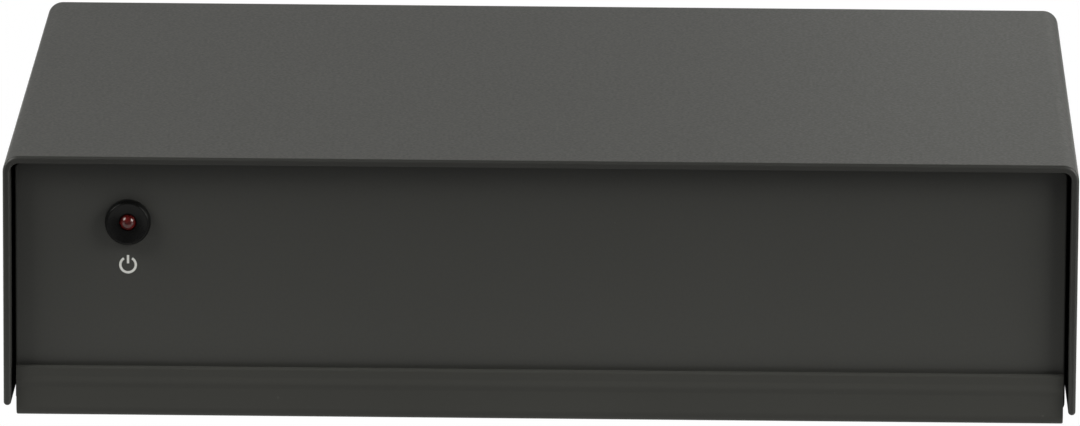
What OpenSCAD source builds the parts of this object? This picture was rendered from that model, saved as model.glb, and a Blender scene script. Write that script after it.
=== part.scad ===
// Phono preamp in a folded steel case. Millimetres, +Z up, the front looks along -Y.
// The origin is on the surface that the feet stand on, under the middle of the overall box.

/* [Case] */
// Width over the cover's side flanges
case_w = 187.6; // [180:0.2:230]
// Depth of the cover from its front edge to its rear edge
case_d = 135; // [130:1:180]
// Height of the cover's flanges, top face included
cover_h = 44.7; // [43:0.1:70]
// Thickness of the cover's coated sheet
cover_t = 1.3; // [0.8:0.1:2]
// Outside radius of the cover's two long bends
cover_bend_r = 2.8; // [2.2:0.1:6]
// Height at which the flanges stop above the tray's underside
flange_rise = 2.2; // [0.5:0.1:3]
// Distance of the rear panel's face inside the cover's rear edge
rear_recess = 1.5; // [0.5:0.1:5]

/* [Tray] */
// Thickness of the tray's sheet
tray_t = 1.2; // [0.8:0.1:1.6]
// Inside radius of the tray's bends
tray_bend_r = 0.7; // [0.4:0.1:1.5]
// Height of the front lip above the tray's underside
front_lip_h = 9.1; // [8:0.1:12]
// Distance of the front lip's face behind the cover's front edge
front_lip_recess = 1.6; // [0.5:0.1:3]
// Gap between the front lip's end and the cover's flange, each side
front_lip_gap = 0.85; // [0.4:0.05:2]
// Radius of the front lip's lower corners
front_lip_corner_r = 0.5; // [0.2:0.1:2]
// Height of the stiffening bead's crest on the front lip
bead_z = 6.3; // [4.5:0.1:6.6]
// How far the bead stands proud
bead_proud = 0.22; // [0.1:0.02:0.5]
// Height of the bead
bead_h = 2.3; // [1.4:0.1:2.8]
// Height of the side lips above the tray's underside
side_lip_h = 12.5; // [11.5:0.5:16]
// Start of the side lips behind the cover's front edge
side_lip_start = 11; // [8:0.5:16]
// Gap between a side lip and the cover's flange
side_lip_gap = 0.3; // [0.1:0.05:0.8]

/* [Panels] */
// Thickness of the front and rear panels
panel_t = 1.2; // [0.8:0.1:2]
// Gap between a panel's end and the cover's flange, each side
panel_gap = 0.65; // [0.3:0.05:1.5]
// Gap between a panel's top edge and the underside of the cover
panel_top_gap = 0.5; // [0.2:0.1:2]
// Gap between the front lip and the front panel
lip_panel_gap = 0.6; // [0.2:0.1:1.5]
// Depth of a panel's bottom flange
panel_flange_d = 12; // [10:0.5:15]

/* [Lamp] */
// Distance of the lamp's centre from the cover's left face
lamp_inset = 21.7; // [15:0.1:40]
// Height of the lamp's centre above the tray's underside
lamp_z = 34.7; // [25:0.1:36]
// Diameter of the LED
led_d = 3; // [2.8:0.1:3.2]
// Length of the LED's body, dome included
led_len = 5.3; // [4.8:0.1:6]
// Diameter of the bezel's front rim
bezel_d = 8; // [7.6:0.1:10]
// Height of the bezel's rim in front of the panel
bezel_proud = 1.7; // [1.2:0.1:2.4]
// Diameter of the bezel's barrel
bezel_barrel_d = 6.2; // [5.8:0.1:6.8]
// Length of the bezel's barrel behind the panel's face
bezel_barrel_len = 8; // [7:0.5:12]
// Length of the retaining ring
ring_len = 3; // [2:0.5:5]

/* [Feet and screws] */
// Diameter of a foot
foot_d = 11; // [8:0.5:16]
// Height of a foot
foot_h = 2.5; // [2.3:0.1:6]
// Distance of the feet's centres from the cover's sides
foot_inset_x = 16; // [12:0.5:24]
// Distance of the feet's centres from the cover's front and rear edges
foot_inset_y = 20; // [14:0.5:24]
// Thread diameter of the case and board screws
screw_d = 3; // [2.5:0.1:3.5]
// Head diameter of the case and board screws
screw_head_d = 5.6; // [5:0.1:6.5]
// Head height of the case and board screws
screw_head_h = 1.3; // [1:0.1:2]
// Length of the case and board screws under the head
screw_len = 5; // [4.5:0.1:5.5]
// Distance of the front cover screws from the cover's front edge
cover_screw_front = 42; // [34:1:50]
// Distance of the rear cover screws from the cover's rear edge
cover_screw_rear = 20; // [14:1:30]
// Height of the cover screws above the tray's underside
cover_screw_z = 8.5; // [7.5:0.1:9]

/* [Phono sockets] */
// Distance between the two sockets of a pair
socket_pitch = 14.5; // [14:0.5:18]
// Height of the sockets' centres above the circuit board
socket_h = 9.5; // [8.5:0.1:12]
// Outside diameter of a socket's shell
shell_d = 8.3; // [8.1:0.05:8.5]
// Wall of a socket's shell
shell_t = 0.6; // [0.4:0.1:0.8]
// Reach of a shell behind the rear panel's face
socket_reach = 10; // [9:0.5:13]
// Diameter of the hole that takes a plug's centre pin
contact_bore_d = 3.3; // [3.2:0.05:3.5]
// Depth of the hole that takes a plug's centre pin
contact_bore_len = 9; // [8:0.5:11]
// Wall of the centre contact
contact_t = 0.45; // [0.3:0.05:0.6]
// Depth of a socket block in front of the rear panel
block_d = 12; // [10:0.5:16]
// Middle of the output pair, from the case's middle
output_x = -2; // [-5:0.5:2]
// Middle of the input pair, from the case's middle
input_x = 36; // [33:0.5:42]

/* [Ground terminal] */
// Distance of the ground terminal from the case's middle
ground_x = 70; // [66:0.5:78]
// Thread diameter of the ground stud
stud_d = 4; // [3.5:0.1:4.5]
// Pitch of the stud's thread
stud_pitch = 0.7; // [0.5:0.05:0.8]
// Turns that the thumb nut makes before the stud's upset end stops it
nut_turns = 3; // [2:1:4]
// Diameter of the thumb nut
thumb_nut_d = 10; // [9:0.5:13]
// Length of the thumb nut
thumb_nut_len = 6; // [5:0.5:8]
// Length of the stud's upset end
upset_len = 0.7; // [0.5:0.1:1.2]

/* [Power inlet and switch] */
// Distance of the power inlet from the case's middle, towards the lamp's side
inlet_x = 62; // [60:0.5:64]
// Height of the power inlet's centre above the circuit board
inlet_h = 6.5; // [6.3:0.1:9]
// Diameter of the inlet's opening
inlet_bore_d = 6.3; // [6:0.1:6.6]
// Diameter of the inlet's centre pin
inlet_pin_d = 2; // [1.6:0.1:2.5]
// Depth of the inlet's opening
inlet_depth = 9.5; // [9:0.1:11]
// Distance of the power switch from the case's middle, towards the lamp's side
switch_x = 42; // [40:0.5:45]
// Travel of the switch's slider
switch_travel = 4; // [3:0.5:5]
// Width of the switch's knob
switch_knob_w = 4.4; // [4:0.2:5.5]
// Height of the switch's knob
switch_knob_h = 4; // [3.5:0.1:4.5]
// Reach of the switch's knob behind the rear panel's face
switch_knob_reach = 2.4; // [1.8:0.1:4]
// Distance between the switch's two screws
switch_screw_pitch = 19; // [18.5:0.5:22]

/* [Circuit board] */
// Width of the circuit board
board_w = 152; // [150:1:160]
// Depth of the circuit board
board_d = 88; // [84:1:92]
// Thickness of the circuit board
board_t = 1.6; // [1:0.1:2]
// Height of the board's standoffs
standoff_h = 6; // [5:0.5:8]
// Width of a standoff across its flats
standoff_af = 5.5; // [5:0.1:7]
// Distance of the board's screws from its sides
board_screw_inset = 10; // [8:0.5:11]
// Distance of the front screws from the board's front edge
board_screw_front = 4; // [3.5:0.5:6]
// Distance of the rear screws from the board's rear edge
board_screw_rear = 30; // [28:0.5:32]
// Diameter of the supply's filter capacitors
filter_cap_d = 12.5; // [10:0.5:14]
// Height of the supply's filter capacitors
filter_cap_h = 20; // [15:0.5:21]
// Diameter of the coupling capacitors
coupling_cap_d = 6.3; // [5:0.1:8]
// Height of the coupling capacitors
coupling_cap_h = 11; // [8:0.5:14]
// Height of the heat sink
heat_sink_h = 18; // [17:0.5:20]
// Diameter of a hook-up wire
wire_d = 1.4; // [1:0.1:1.8]

/* [Hidden] */

// Clearances
thread_gap = 0.05;   // between a screw and its thread, per side
hole_gap = 0.2;      // between a screw and a plain hole, per side
seat_gap = 0.02;     // between two round pieces that seat in each other
run_gap = 0.05;      // between the stud and the thumb nut, per side
slide_gap = 0.3;     // round the switch's slider
stop_gap = 0.1;      // between the stud's upset end and the opened thumb nut

// Heights
z_tray = foot_h;
z_floor = z_tray + tray_t;
z_flange = z_tray + flange_rise;
z_top = z_flange + cover_h;
z_under = z_top - cover_t;
z_panel_top = z_under - panel_top_gap;
z_board = z_floor + standoff_h;
z_board_top = z_board + board_t;
z_socket = z_board_top + socket_h;
z_inlet = z_board_top + inlet_h;
z_lamp = z_tray + lamp_z;

// Widths
half_w = case_w / 2;
inner_half = half_w - cover_t;
panel_half = inner_half - panel_gap;
front_lip_half = inner_half - front_lip_gap;
side_lip_half = inner_half - side_lip_gap;
flange_end_gap = 1;
flange_half = side_lip_half - tray_t - tray_bend_r - flange_end_gap;
lamp_x = lamp_inset - half_w;

// The ground terminal's stack, counted from the rear panel's outer face
lock_nut_h = 3.2;
lock_nut_af = 7;
washer_t = 0.8;
washer_d = 9;
nut_travel = nut_turns * stud_pitch;
stud_reach = lock_nut_h + washer_t + thumb_nut_len + nut_travel + stop_gap + upset_len;

// Depths. The overall box runs from the cover's front edge to the longest piece at the rear
rear_face_d = case_d - rear_recess;
overall_d = rear_face_d + max(rear_recess, socket_reach, stud_reach, switch_knob_reach);
y_front = -overall_d / 2;
y_case_rear = y_front + case_d;
y_lip = y_front + front_lip_recess;
y_panel = y_lip + tray_t + lip_panel_gap;
y_rear = y_front + rear_face_d;
y_rear_in = y_rear - panel_t;
side_lip_end_gap = 1;
y_side_lip = y_front + side_lip_start;

// Bottom flanges of the panels: a screw line halfway along the flat part
panel_bend_r = 0.7;
panel_screw_half = 62;
panel_screw_d = panel_flange_d * 0.6;
panel_screw_xs = [-panel_screw_half, 0, panel_screw_half];
collar_h = 1.4;
collar_d = screw_d + 1.6;

// Lamp
bezel_bore_r = led_d / 2 + seat_gap;
bezel_slope = 60;
bezel_slope_w = 0.5;
bezel_crest_r = 0.2;
bezel_crest_at = bezel_d / 2 - bezel_slope_w;
bezel_dish_r = bezel_crest_at - 0.05;
bezel_dish_depth = 0.9;
led_tip_recess = 0.1;
led_flange_d = led_d + 0.8;
led_flange_t = 1;
led_tip_y = y_panel - bezel_proud + led_tip_recess;
led_end_y = led_tip_y + led_len;
led_leg_t = 0.5;
led_leg_pitch = 2.54;
led_leg_len = 8;
ring_t = 1.2;

// Sockets
nose_d = shell_d + 1.5;
nose_proud = 0.8;
shell_y = y_rear + nose_proud;
shell_end_y = y_rear + socket_reach;
insert_recess = 0.6;
contact_recess = 0.4;
contact_floor = 1;
contact_len = contact_bore_len + contact_floor;
contact_r = contact_bore_d / 2 + contact_t;
contact_end_y = shell_end_y - contact_recess;
slit_w = 0.35;
slit_len = 4;
block_side = 5.6;
block_top = 5.8;
block_screw_rise = 6.6;
block_boss_half = 3.6;
block_boss_rise = 3.2;
block_screw_len = 8;
block_boss_d = 9.6;
block_notch_w = 3;
block_notch_h = 5;
block_rear_wall = 0.5;
shell_edge_len = 0.4;
shell_edge_t = 0.3;
insert_chamfer = 0.5;
small_screw_d = 2.5;
small_head_d = 4.8;
small_head_h = 1.5;

// Ground terminal
upset_d = stud_d + 0.9;
stud_head_d = 7.5;
stud_head_h = 2.4;
tag_t = 0.6;
tag_end_r = 3.6;
tag_len = 12;
tag_tail_w = 3;
tag_hole_drop = 1.6;
tag_hole_r = 0.45;
knurl_teeth = 30;
knurl_depth = 0.35;
knurl_chamfer = 0.8;
neck_inset = 1.2;
neck_len = 1.5;
ground_z = z_socket;

// Power inlet
inlet_w = 9;
inlet_nose_d = 7.8;
inlet_body_d = 14;
inlet_top = 4.6;
inlet_pin_recess = 0.8;
inlet_step_d = 3;

// Power switch
switch_z = z_socket;
switch_slot_w = switch_knob_w + switch_travel + 2 * slide_gap;
switch_slot_h = switch_knob_h + 2 * slide_gap;
switch_frame_t = 0.8;
switch_frame_margin = 2.75;
switch_frame_w = switch_screw_pitch + 2 * switch_frame_margin;
switch_screw_len = 4;
switch_frame_h = 9;
switch_body_w = 15.6;
switch_body_h = 8.4;
switch_body_d = 7;
switch_shoe_w = switch_knob_w + 2.4;
switch_shoe_h = switch_knob_h + 1;
switch_shoe_t = 1.6;
switch_cavity_d = switch_shoe_t + slide_gap;
switch_rest_x = -switch_x - switch_travel / 2;
switch_lug_len = 3.5;
switch_lug_w = 1.8;
switch_lug_t = 0.6;
switch_lug_pitch = 4;

// Circuit board and what stands on it. A row is a distance from the board's rear edge, a negative one from
// its front edge
board_gap = 1;
y_board_rear = y_rear_in - board_gap;
y_board_front = y_board_rear - board_d;
chip_x = [12, 40];
chip_row = 33;
chip_w = 6.4;
chip_len = 9.4;
chip_h = 3.3;
chip_pitch = 2.54;
chip_span = 7.62;
chip_socket_h = 4;
chip_socket_rim = 0.8;
chip_socket_rail = 2.9;
chip_socket_end = 1.4;
chip_socket_floor = 1.5;
chip_lift = 0.3;
chip_dot_r = 1;
chip_dot_depth = 0.3;
leg_w = 1.4;
leg_t = 0.3;
leg_drop = 1.6;
board_left = -board_w / 2;
board_right = board_w / 2;
filter_cap_insets = [30, 46];
filter_cap_x = [for (x = filter_cap_insets) board_left + x];
filter_row = 31;
coupling_cap_x = [2, 20, 38, 56];
coupling_row = 20;
film_cap_x = [-2, 5, 24, 31, 50, 57];
film_row = 46;
can_edge_r = 0.5;
can_groove_z = 2;
can_groove_r = 0.5;
film_w = 4.5;
film_len = 7.2;
film_h = 8;
resistor_count = 10;
resistor_x = -14;
resistor_pitch = 8;
resistor_rows = [-10, -22];
resistor_len = 6.4;
resistor_d = 2.3;
resistor_cap_len = 1.4;
resistor_waist = 0.17;
body_lift = 0.4;
diode_inset = 10;
diode_step = 6;
diode_xs = [for (i = [0:3]) board_left + diode_inset + i * diode_step];
diode_row = 50;
diode_len = 5;
diode_d = 2.6;
lead_d = 0.6;
lead_bend_r = 1;
lead_out = 0.8;
regulator_row = 52;
regulator_w = 10;
regulator_h = 8.6;
regulator_t = 4.4;
regulator_rise = 3.5;
regulator_tab_h = 6;
regulator_tab_t = 1.2;
regulator_leg_w = 0.8;
regulator_leg_t = 0.5;
heat_sink_inset = 49;
heat_sink_x = board_left + heat_sink_inset;
heat_sink_w = 30;
heat_sink_base_t = 2;
heat_sink_fins = 7;
heat_sink_fin_t = 1;
heat_sink_fin_len = 8;
heat_sink_step = (heat_sink_w - heat_sink_fin_t) / (heat_sink_fins - 1);
regulator_xs = [heat_sink_x - 1.5 * heat_sink_step, heat_sink_x + 1.5 * heat_sink_step];
regulator_screw_z = z_board_top + regulator_rise + regulator_h + regulator_tab_h / 2;
regulator_screw_len = 5;
header_w = 7.5;
header_d = 4;
header_base_h = 2.5;
header_plug_h = 6;
header_latch_t = 0.8;
header_latch_share = 0.7;
plug_side_gap = 0.5;
plug_face_gap = 0.3;
lamp_header_inset = 14;
lamp_header_x = board_left + lamp_header_inset;
lamp_header_row = -14;
switch_header_inset = 30;
switch_header_x = board_left + switch_header_inset;
switch_header_row = 21;
ground_pad_inset = 16;
ground_pad_x = board_right - ground_pad_inset;
ground_pad_row = 10;

// ---------------------------------------------------------------- helpers

// A component's place on the board
function on_board(x, row) = [x, row < 0 ? y_board_front - row : y_board_rear - row, z_board_top];

// A profile in the XZ plane, extruded along Y from y0
module along_y(y0, len) translate([0, y0 + len, 0]) rotate([90, 0, 0]) linear_extrude(len) children();

// A profile in the YZ plane, extruded along X over a centred width
module along_x(w) translate([-w / 2, 0, 0]) rotate([90, 0, 90]) linear_extrude(w) children();

// A profile of radius and length, turned about a line that starts at p and runs towards +Y
module turned(p) translate(p) rotate([-90, 0, 0]) rotate_extrude($fn = 72) children();

// A round rod from p towards +Y
module rod(p, r, len, fn = 48) translate(p) rotate([-90, 0, 0]) cylinder(r = r, h = len, $fn = fn);

// A tube from p towards +Y
module tube(p, r, bore_r, len) turned(p) translate([bore_r, 0]) square([r - bore_r, len]);

// A box centred on x and y that stands on z
module block(p, size) translate([p[0] - size[0] / 2, p[1] - size[1] / 2, p[2]]) cube(size);

// A quarter of a bent sheet in section, from +X round to +Y
module sheet_bend(r_in, t) intersection() {
    difference() {
        circle(r = r_in + t, $fn = 48);
        circle(r = r_in, $fn = 48);
    }
    square(r_in + t);
}

// A copy and its mirror image across the case
module both_sides() {
    children();
    mirror([1, 0, 0]) children();
}

// Places at the pairs of x and y
module at_each(xs, ys) for (x = xs, y = ys) translate([x, y, 0]) children();

// A pan-head screw whose head sits on z = 0 and whose shank points down
module screw(d, len, head_d, head_h) difference() {
    rotate_extrude($fn = 48) union() {
        translate([0, -len + 0.4]) square([d / 2, len - 0.4]);
        polygon([[0, -len], [d / 2 - 0.4, -len], [d / 2, -len + 0.4], [0, -len + 0.4]]);
        square([head_d / 2, head_h * 0.4]);
        intersection() {
            translate([0, head_h - head_d]) circle(r = head_d, $fn = 96);
            square([head_d / 2, head_h]);
        }
    }
    for (turn = [0, 90]) rotate([0, 0, turn])
        translate([-head_d * 0.27, -head_d * 0.06, head_h * 0.3])
            cube([head_d * 0.54, head_d * 0.12, head_h]);
}

module case_screw() screw(screw_d - 2 * thread_gap, screw_len, screw_head_d, screw_head_h);

function unit(v) = v / norm(v);

// Points of a cubic curve between two ends
function curve(a, b, c, d, n) = [
    for (i = [0:n]) let (t = i / n, s = 1 - t)
        s * s * s * a + 3 * s * s * t * b + 3 * s * t * t * c + t * t * t * d
];

// A wire's points: straight out of both ends, along the handles a and b, and curved in between
function route(start, a, end, b, lead = 1) = let (from = start + unit(a) * lead, to = end + unit(b) * lead)
    concat([start], curve(from, from + a, to + b, to, 12), [end]);

// A round wire along a list of points, as one closed surface
module wire(points, d, side = [1, 0, 0]) {
    n = len(points) - 1;
    sides = 8;
    rings = [
        for (i = [0:n]) let (
            along = unit(points[min(i + 1, n)] - points[max(i - 1, 0)]),
            u = unit(cross(along, side)),
            v = cross(along, u)
        ) for (k = [0:sides - 1]) points[i] + d / 2 * (cos(360 * k / sides) * u + sin(360 * k / sides) * v)
    ];
    walls = [
        for (i = [0:n - 1], k = [0:sides - 1]) let (j = (k + 1) % sides)
            [i * sides + k, i * sides + j, (i + 1) * sides + j, (i + 1) * sides + k]
    ];
    start = [for (k = [sides - 1:-1:0]) k];
    end = [for (k = [0:sides - 1]) n * sides + k];
    polyhedron(points = rings, faces = concat(walls, [start, end]));
}

// ---------------------------------------------------------------- case

// The cover's section, inset from its outside, down to the height z_low
module cover_outline(inset, z_low) {
    half = half_w - inset;
    top = z_top - inset;
    r = max(cover_bend_r - inset, 0.4);
    translate([-half, z_low]) square([2 * half, top - r - z_low]);
    translate([-half + r, z_low]) square([2 * (half - r), top - z_low]);
    for (side = [-1, 1]) translate([side * (half - r), top - r]) circle(r = r, $fn = 64);
}

// The cover screws' places along one side
function cover_screw_ys() = [y_front + cover_screw_front, y_case_rear - cover_screw_rear];

module cover_screw_holes(r, x_in) both_sides() for (y = cover_screw_ys())
    translate([x_in, y, z_tray + cover_screw_z]) rotate([0, 90, 0]) cylinder(r = r, h = half_w, $fn = 48);

module top_cover() color("#2f2f2d") difference() {
    along_y(y_front, case_d) {
        difference() {
            cover_outline(0, z_flange + cover_t / 2);
            cover_outline(cover_t, z_flange - 1);
        }
        for (side = [-1, 1]) translate([side * (half_w - cover_t / 2), z_flange + cover_t / 2])
            circle(r = cover_t / 2, $fn = 48);
    }
    cover_screw_holes(screw_d / 2 + hole_gap, inner_half - 1);
}

// The bead's height at z on the front lip
function bead(z) = abs(z - bead_z) < bead_h / 2 ? bead_proud * (1 + cos(360 * (z - bead_z) / bead_h)) / 2 : 0;

// The front lip and its bend, in the YZ plane
module front_lip_section() {
    z_bend = tray_t + tray_bend_r;
    z_edge = front_lip_h - tray_t / 2;
    steps = 12;
    bead_zs = [for (i = [0:steps]) bead_z + (i / steps - 0.5) * bead_h];
    zs = concat([z_bend], bead_zs, [z_edge]);
    translate([y_lip, z_tray]) {
        polygon(concat(
            [for (z = zs) [-bead(z), z]],
            [for (i = [len(zs) - 1:-1:0]) [tray_t - bead(zs[i]), zs[i]]]
        ));
        translate([tray_t / 2, z_edge]) circle(r = tray_t / 2, $fn = 32);
        translate([z_bend, z_bend]) rotate(180) sheet_bend(tray_bend_r, tray_t);
        translate([z_bend, 0]) square([side_lip_start - front_lip_recess - z_bend, tray_t]);
    }
}

// The tray's floor and side lips, in the XZ plane
module side_lip_section() {
    z_bend = tray_t + tray_bend_r;
    translate([0, z_tray]) {
        translate([-(side_lip_half - z_bend), 0]) square([2 * (side_lip_half - z_bend), tray_t]);
        for (side = [-1, 1]) {
            translate([side * (side_lip_half - z_bend), z_bend])
                rotate(side < 0 ? 180 : 270) sheet_bend(tray_bend_r, tray_t);
            translate([side * (side_lip_half - tray_t / 2) - tray_t / 2, z_bend])
                square([tray_t, side_lip_h - z_bend - tray_t / 2]);
            translate([side * (side_lip_half - tray_t / 2), side_lip_h - tray_t / 2])
                circle(r = tray_t / 2, $fn = 32);
        }
    }
}

// The front lip's outline from the front, with its rounded lower corners
module front_lip_outline() {
    r = front_lip_corner_r;
    translate([-front_lip_half, z_tray + r]) square([2 * front_lip_half, front_lip_h]);
    translate([-front_lip_half + r, z_tray]) square([2 * (front_lip_half - r), front_lip_h]);
    for (side = [-1, 1]) translate([side * (front_lip_half - r), z_tray + r]) circle(r = r, $fn = 32);
}

// The board's screw places
function board_screw_xs() = [board_left + board_screw_inset, board_right - board_screw_inset];
function board_screw_ys() = [y_board_front + board_screw_front, y_board_rear - board_screw_rear];

// The panels' bottom screw lines
function front_screw_y() = y_panel + panel_screw_d;
function rear_screw_y() = y_rear - panel_screw_d;

module base_tray() color("#2f2f2d") {
    lip_len = y_rear_in - side_lip_end_gap - y_side_lip;
    difference() {
        union() {
            intersection() {
                along_x(2 * front_lip_half) front_lip_section();
                along_y(y_lip - 1, side_lip_start) front_lip_outline();
            }
            along_y(y_side_lip, lip_len) side_lip_section();
            translate([-panel_half, y_side_lip + lip_len - 1, z_tray])
                cube([2 * panel_half, y_rear - y_side_lip - lip_len + 1, tray_t]);
            both_sides() for (y = cover_screw_ys())
                translate([side_lip_half - tray_t - collar_h, y, z_tray + cover_screw_z])
                    rotate([0, 90, 0]) cylinder(d = collar_d, h = collar_h + tray_t / 2, $fn = 48);
        }
        cover_screw_holes(screw_d / 2, side_lip_half - tray_t - collar_h - 1);
        at_each(panel_screw_xs, [front_screw_y(), rear_screw_y()])
            translate([0, 0, z_tray - 1]) cylinder(r = screw_d / 2 + hole_gap, h = tray_t + 2, $fn = 48);
        at_each(board_screw_xs(), board_screw_ys())
            translate([0, 0, z_tray - 1]) cylinder(r = screw_d / 2 + hole_gap, h = tray_t + 2, $fn = 48);
    }
}

// A panel's outline above its bottom bend. Its top corners clear the cover's bends
module panel_outline(z_low) {
    r = max(cover_bend_r - cover_t - panel_top_gap, 0.3);
    translate([-panel_half, z_low]) square([2 * panel_half, z_panel_top - r - z_low]);
    translate([-panel_half + r, z_low]) square([2 * (panel_half - r), z_panel_top - z_low]);
    for (side = [-1, 1]) translate([side * (panel_half - r), z_panel_top - r]) circle(r = r, $fn = 48);
}

// A panel: a flat plate with a bottom flange bent towards the inside. Its face is at y = 0 and faces -Y
module panel_sheet() {
    z_bend = z_floor + panel_t + panel_bend_r;
    along_y(0, panel_t) panel_outline(z_bend);
    along_x(2 * flange_half) {
        translate([panel_t + panel_bend_r, z_bend]) rotate(180) sheet_bend(panel_bend_r, panel_t);
        translate([panel_t + panel_bend_r, z_floor])
            square([panel_flange_d - panel_t - panel_bend_r, panel_t]);
    }
    for (x = panel_screw_xs) translate([x, panel_screw_d, z_floor + panel_t / 2])
        cylinder(d = collar_d, h = panel_t / 2 + collar_h, $fn = 48);
}

// The threads in a panel's bottom flange
module panel_threads() for (x = panel_screw_xs) translate([x, panel_screw_d, z_floor - 1])
    cylinder(r = screw_d / 2, h = panel_t + collar_h + 2, $fn = 48);

module front_panel() color("#373735") translate([0, y_panel, 0]) difference() {
    panel_sheet();
    panel_threads();
    rod([lamp_x, -1, z_lamp], bezel_barrel_d / 2 + seat_gap, panel_t + 2);
}

// The x places of the two sockets of a pair
function socket_xs(x) = [x - socket_pitch / 2, x + socket_pitch / 2];

module rear_panel() color("#373735") difference() {
    translate([0, y_rear, 0]) mirror([0, 1, 0]) difference() {
        panel_sheet();
        panel_threads();
    }
    for (pair = [output_x, input_x]) {
        for (x = socket_xs(pair)) rod([x, y_rear_in - 1, z_socket], nose_d / 2 + hole_gap, panel_t + 2);
        rod([pair, y_rear_in - 1, z_socket + block_screw_rise], small_screw_d / 2 + hole_gap, panel_t + 2);
    }
    rod([ground_x, y_rear_in - 1, ground_z], stud_d / 2 + hole_gap, panel_t + 2);
    rod([-inlet_x, y_rear_in - 1, z_inlet], inlet_nose_d / 2 + hole_gap, panel_t + 2);
    translate([-switch_x - switch_slot_w / 2, y_rear_in - 1, switch_z - switch_slot_h / 2])
        cube([switch_slot_w, panel_t + 2, switch_slot_h]);
    for (side = [-1, 1]) rod([-switch_x + side * switch_screw_pitch / 2, y_rear_in - 1, switch_z],
        small_screw_d / 2 + hole_gap, panel_t + 2);
}

module cover_screws() color("#1c1c1b") both_sides() for (y = cover_screw_ys())
    translate([half_w, y, z_tray + cover_screw_z]) rotate([0, 90, 0]) case_screw();

module panel_screws(y) for (x = panel_screw_xs)
    translate([x, y, z_tray]) rotate([180, 0, 0]) case_screw();

module front_panel_screws() color("#1c1c1b") panel_screws(front_screw_y());

module rear_panel_screws() color("#1c1c1b") panel_screws(rear_screw_y());

module rubber_feet() color("#191919") {
    edge_r = 0.7;
    r = foot_d / 2;
    at_each([-half_w + foot_inset_x, half_w - foot_inset_x],
            [y_front + foot_inset_y, y_case_rear - foot_inset_y])
        rotate_extrude($fn = 64) {
            square([r - edge_r, foot_h]);
            translate([0, edge_r]) square([r, foot_h - edge_r]);
            translate([r - edge_r, edge_r]) circle(r = edge_r, $fn = 32);
        }
}

// ---------------------------------------------------------------- lamp

module lamp_bezel() color("#111111") {
    rim = bezel_d / 2;
    barrel = bezel_barrel_d / 2;
    counterbore = led_flange_d / 2 + seat_gap;
    z_led_flange = y_panel - led_end_y + led_flange_t;
    z_dish = bezel_proud - bezel_dish_depth;
    z_crest = bezel_proud - bezel_crest_r;
    slope_start = [bezel_crest_at, z_crest] + bezel_crest_r * [sin(bezel_slope), cos(bezel_slope)];
    z_rim = slope_start[1] - (rim - slope_start[0]) * tan(bezel_slope);
    translate([lamp_x, y_panel, z_lamp]) rotate([90, 0, 0]) difference() {
        rotate_extrude($fn = 72) {
            polygon([[0, 0], [rim, 0], [rim, z_rim], slope_start, [0, slope_start[1]]]);
            square([bezel_crest_at, bezel_proud]);
            translate([bezel_crest_at, z_crest]) circle(r = bezel_crest_r, $fn = 48);
            translate([0, -bezel_barrel_len]) square([barrel, bezel_barrel_len]);
        }
        rotate_extrude($fn = 72) {
            translate([0, -bezel_barrel_len - 1]) square([bezel_bore_r, bezel_barrel_len + bezel_proud + 2]);
            translate([0, -bezel_barrel_len - 1]) square([counterbore, bezel_barrel_len + 1 + z_led_flange]);
            polygon([[0, z_dish], [bezel_bore_r + 0.2, z_dish], [bezel_dish_r, bezel_proud],
                     [bezel_dish_r, bezel_proud + 1], [0, bezel_proud + 1]]);
        }
    }
}

module lamp_ring() color("#151515") {
    bore = bezel_barrel_d / 2 + seat_gap;
    tube([lamp_x, y_panel + panel_t, z_lamp], bore + ring_t, bore, ring_len);
}

module lamp_led() color("#a01410") turned([lamp_x, led_tip_y, z_lamp]) {
    r = led_d / 2;
    intersection() {
        translate([0, r]) circle(r = r, $fn = 64);
        square([r, r]);
    }
    translate([0, r]) square([r, led_len - r]);
    translate([0, led_len - led_flange_t]) square([led_flange_d / 2, led_flange_t]);
}

module lamp_leads() color("silver") for (side = [-1, 1])
    translate([lamp_x + side * led_leg_pitch / 2 - led_leg_t / 2, led_end_y, z_lamp - led_leg_t / 2])
        cube([led_leg_t, led_leg_len, led_leg_t]);

// The middle of the lamp's board connector
lamp_header_at = on_board(lamp_header_x, lamp_header_row);

// The lamp's two wires, from the LED's legs down to the plug
module lamp_wires() color("#8c1f1c") for (side = [-1, 1]) {
    start = [lamp_x + side * led_leg_pitch / 2, led_end_y + led_leg_len, z_lamp];
    end = lamp_header_at + [side * led_leg_pitch / 2, 0, header_base_h + header_plug_h];
    wire(route(start, [0, 8, 0], end, [0, 0, 12]), wire_d, [1, 0.2, 0.1]);
}

module lamp_plug() color("#e8e4d8") block(lamp_header_at + [0, 0, header_base_h],
    [header_w - 2 * plug_side_gap, header_d - 2 * plug_face_gap, header_plug_h]);

// A board connector: a low base with a raised latch wall
module header(p) {
    block(p, [header_w, header_d, header_base_h]);
    block(p + [0, (header_d + header_latch_t) / 2, 0],
        [header_w, header_latch_t, header_base_h + header_plug_h * header_latch_share]);
}

module lamp_header() color("#efece2") header(lamp_header_at);

// ---------------------------------------------------------------- phono sockets

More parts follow.
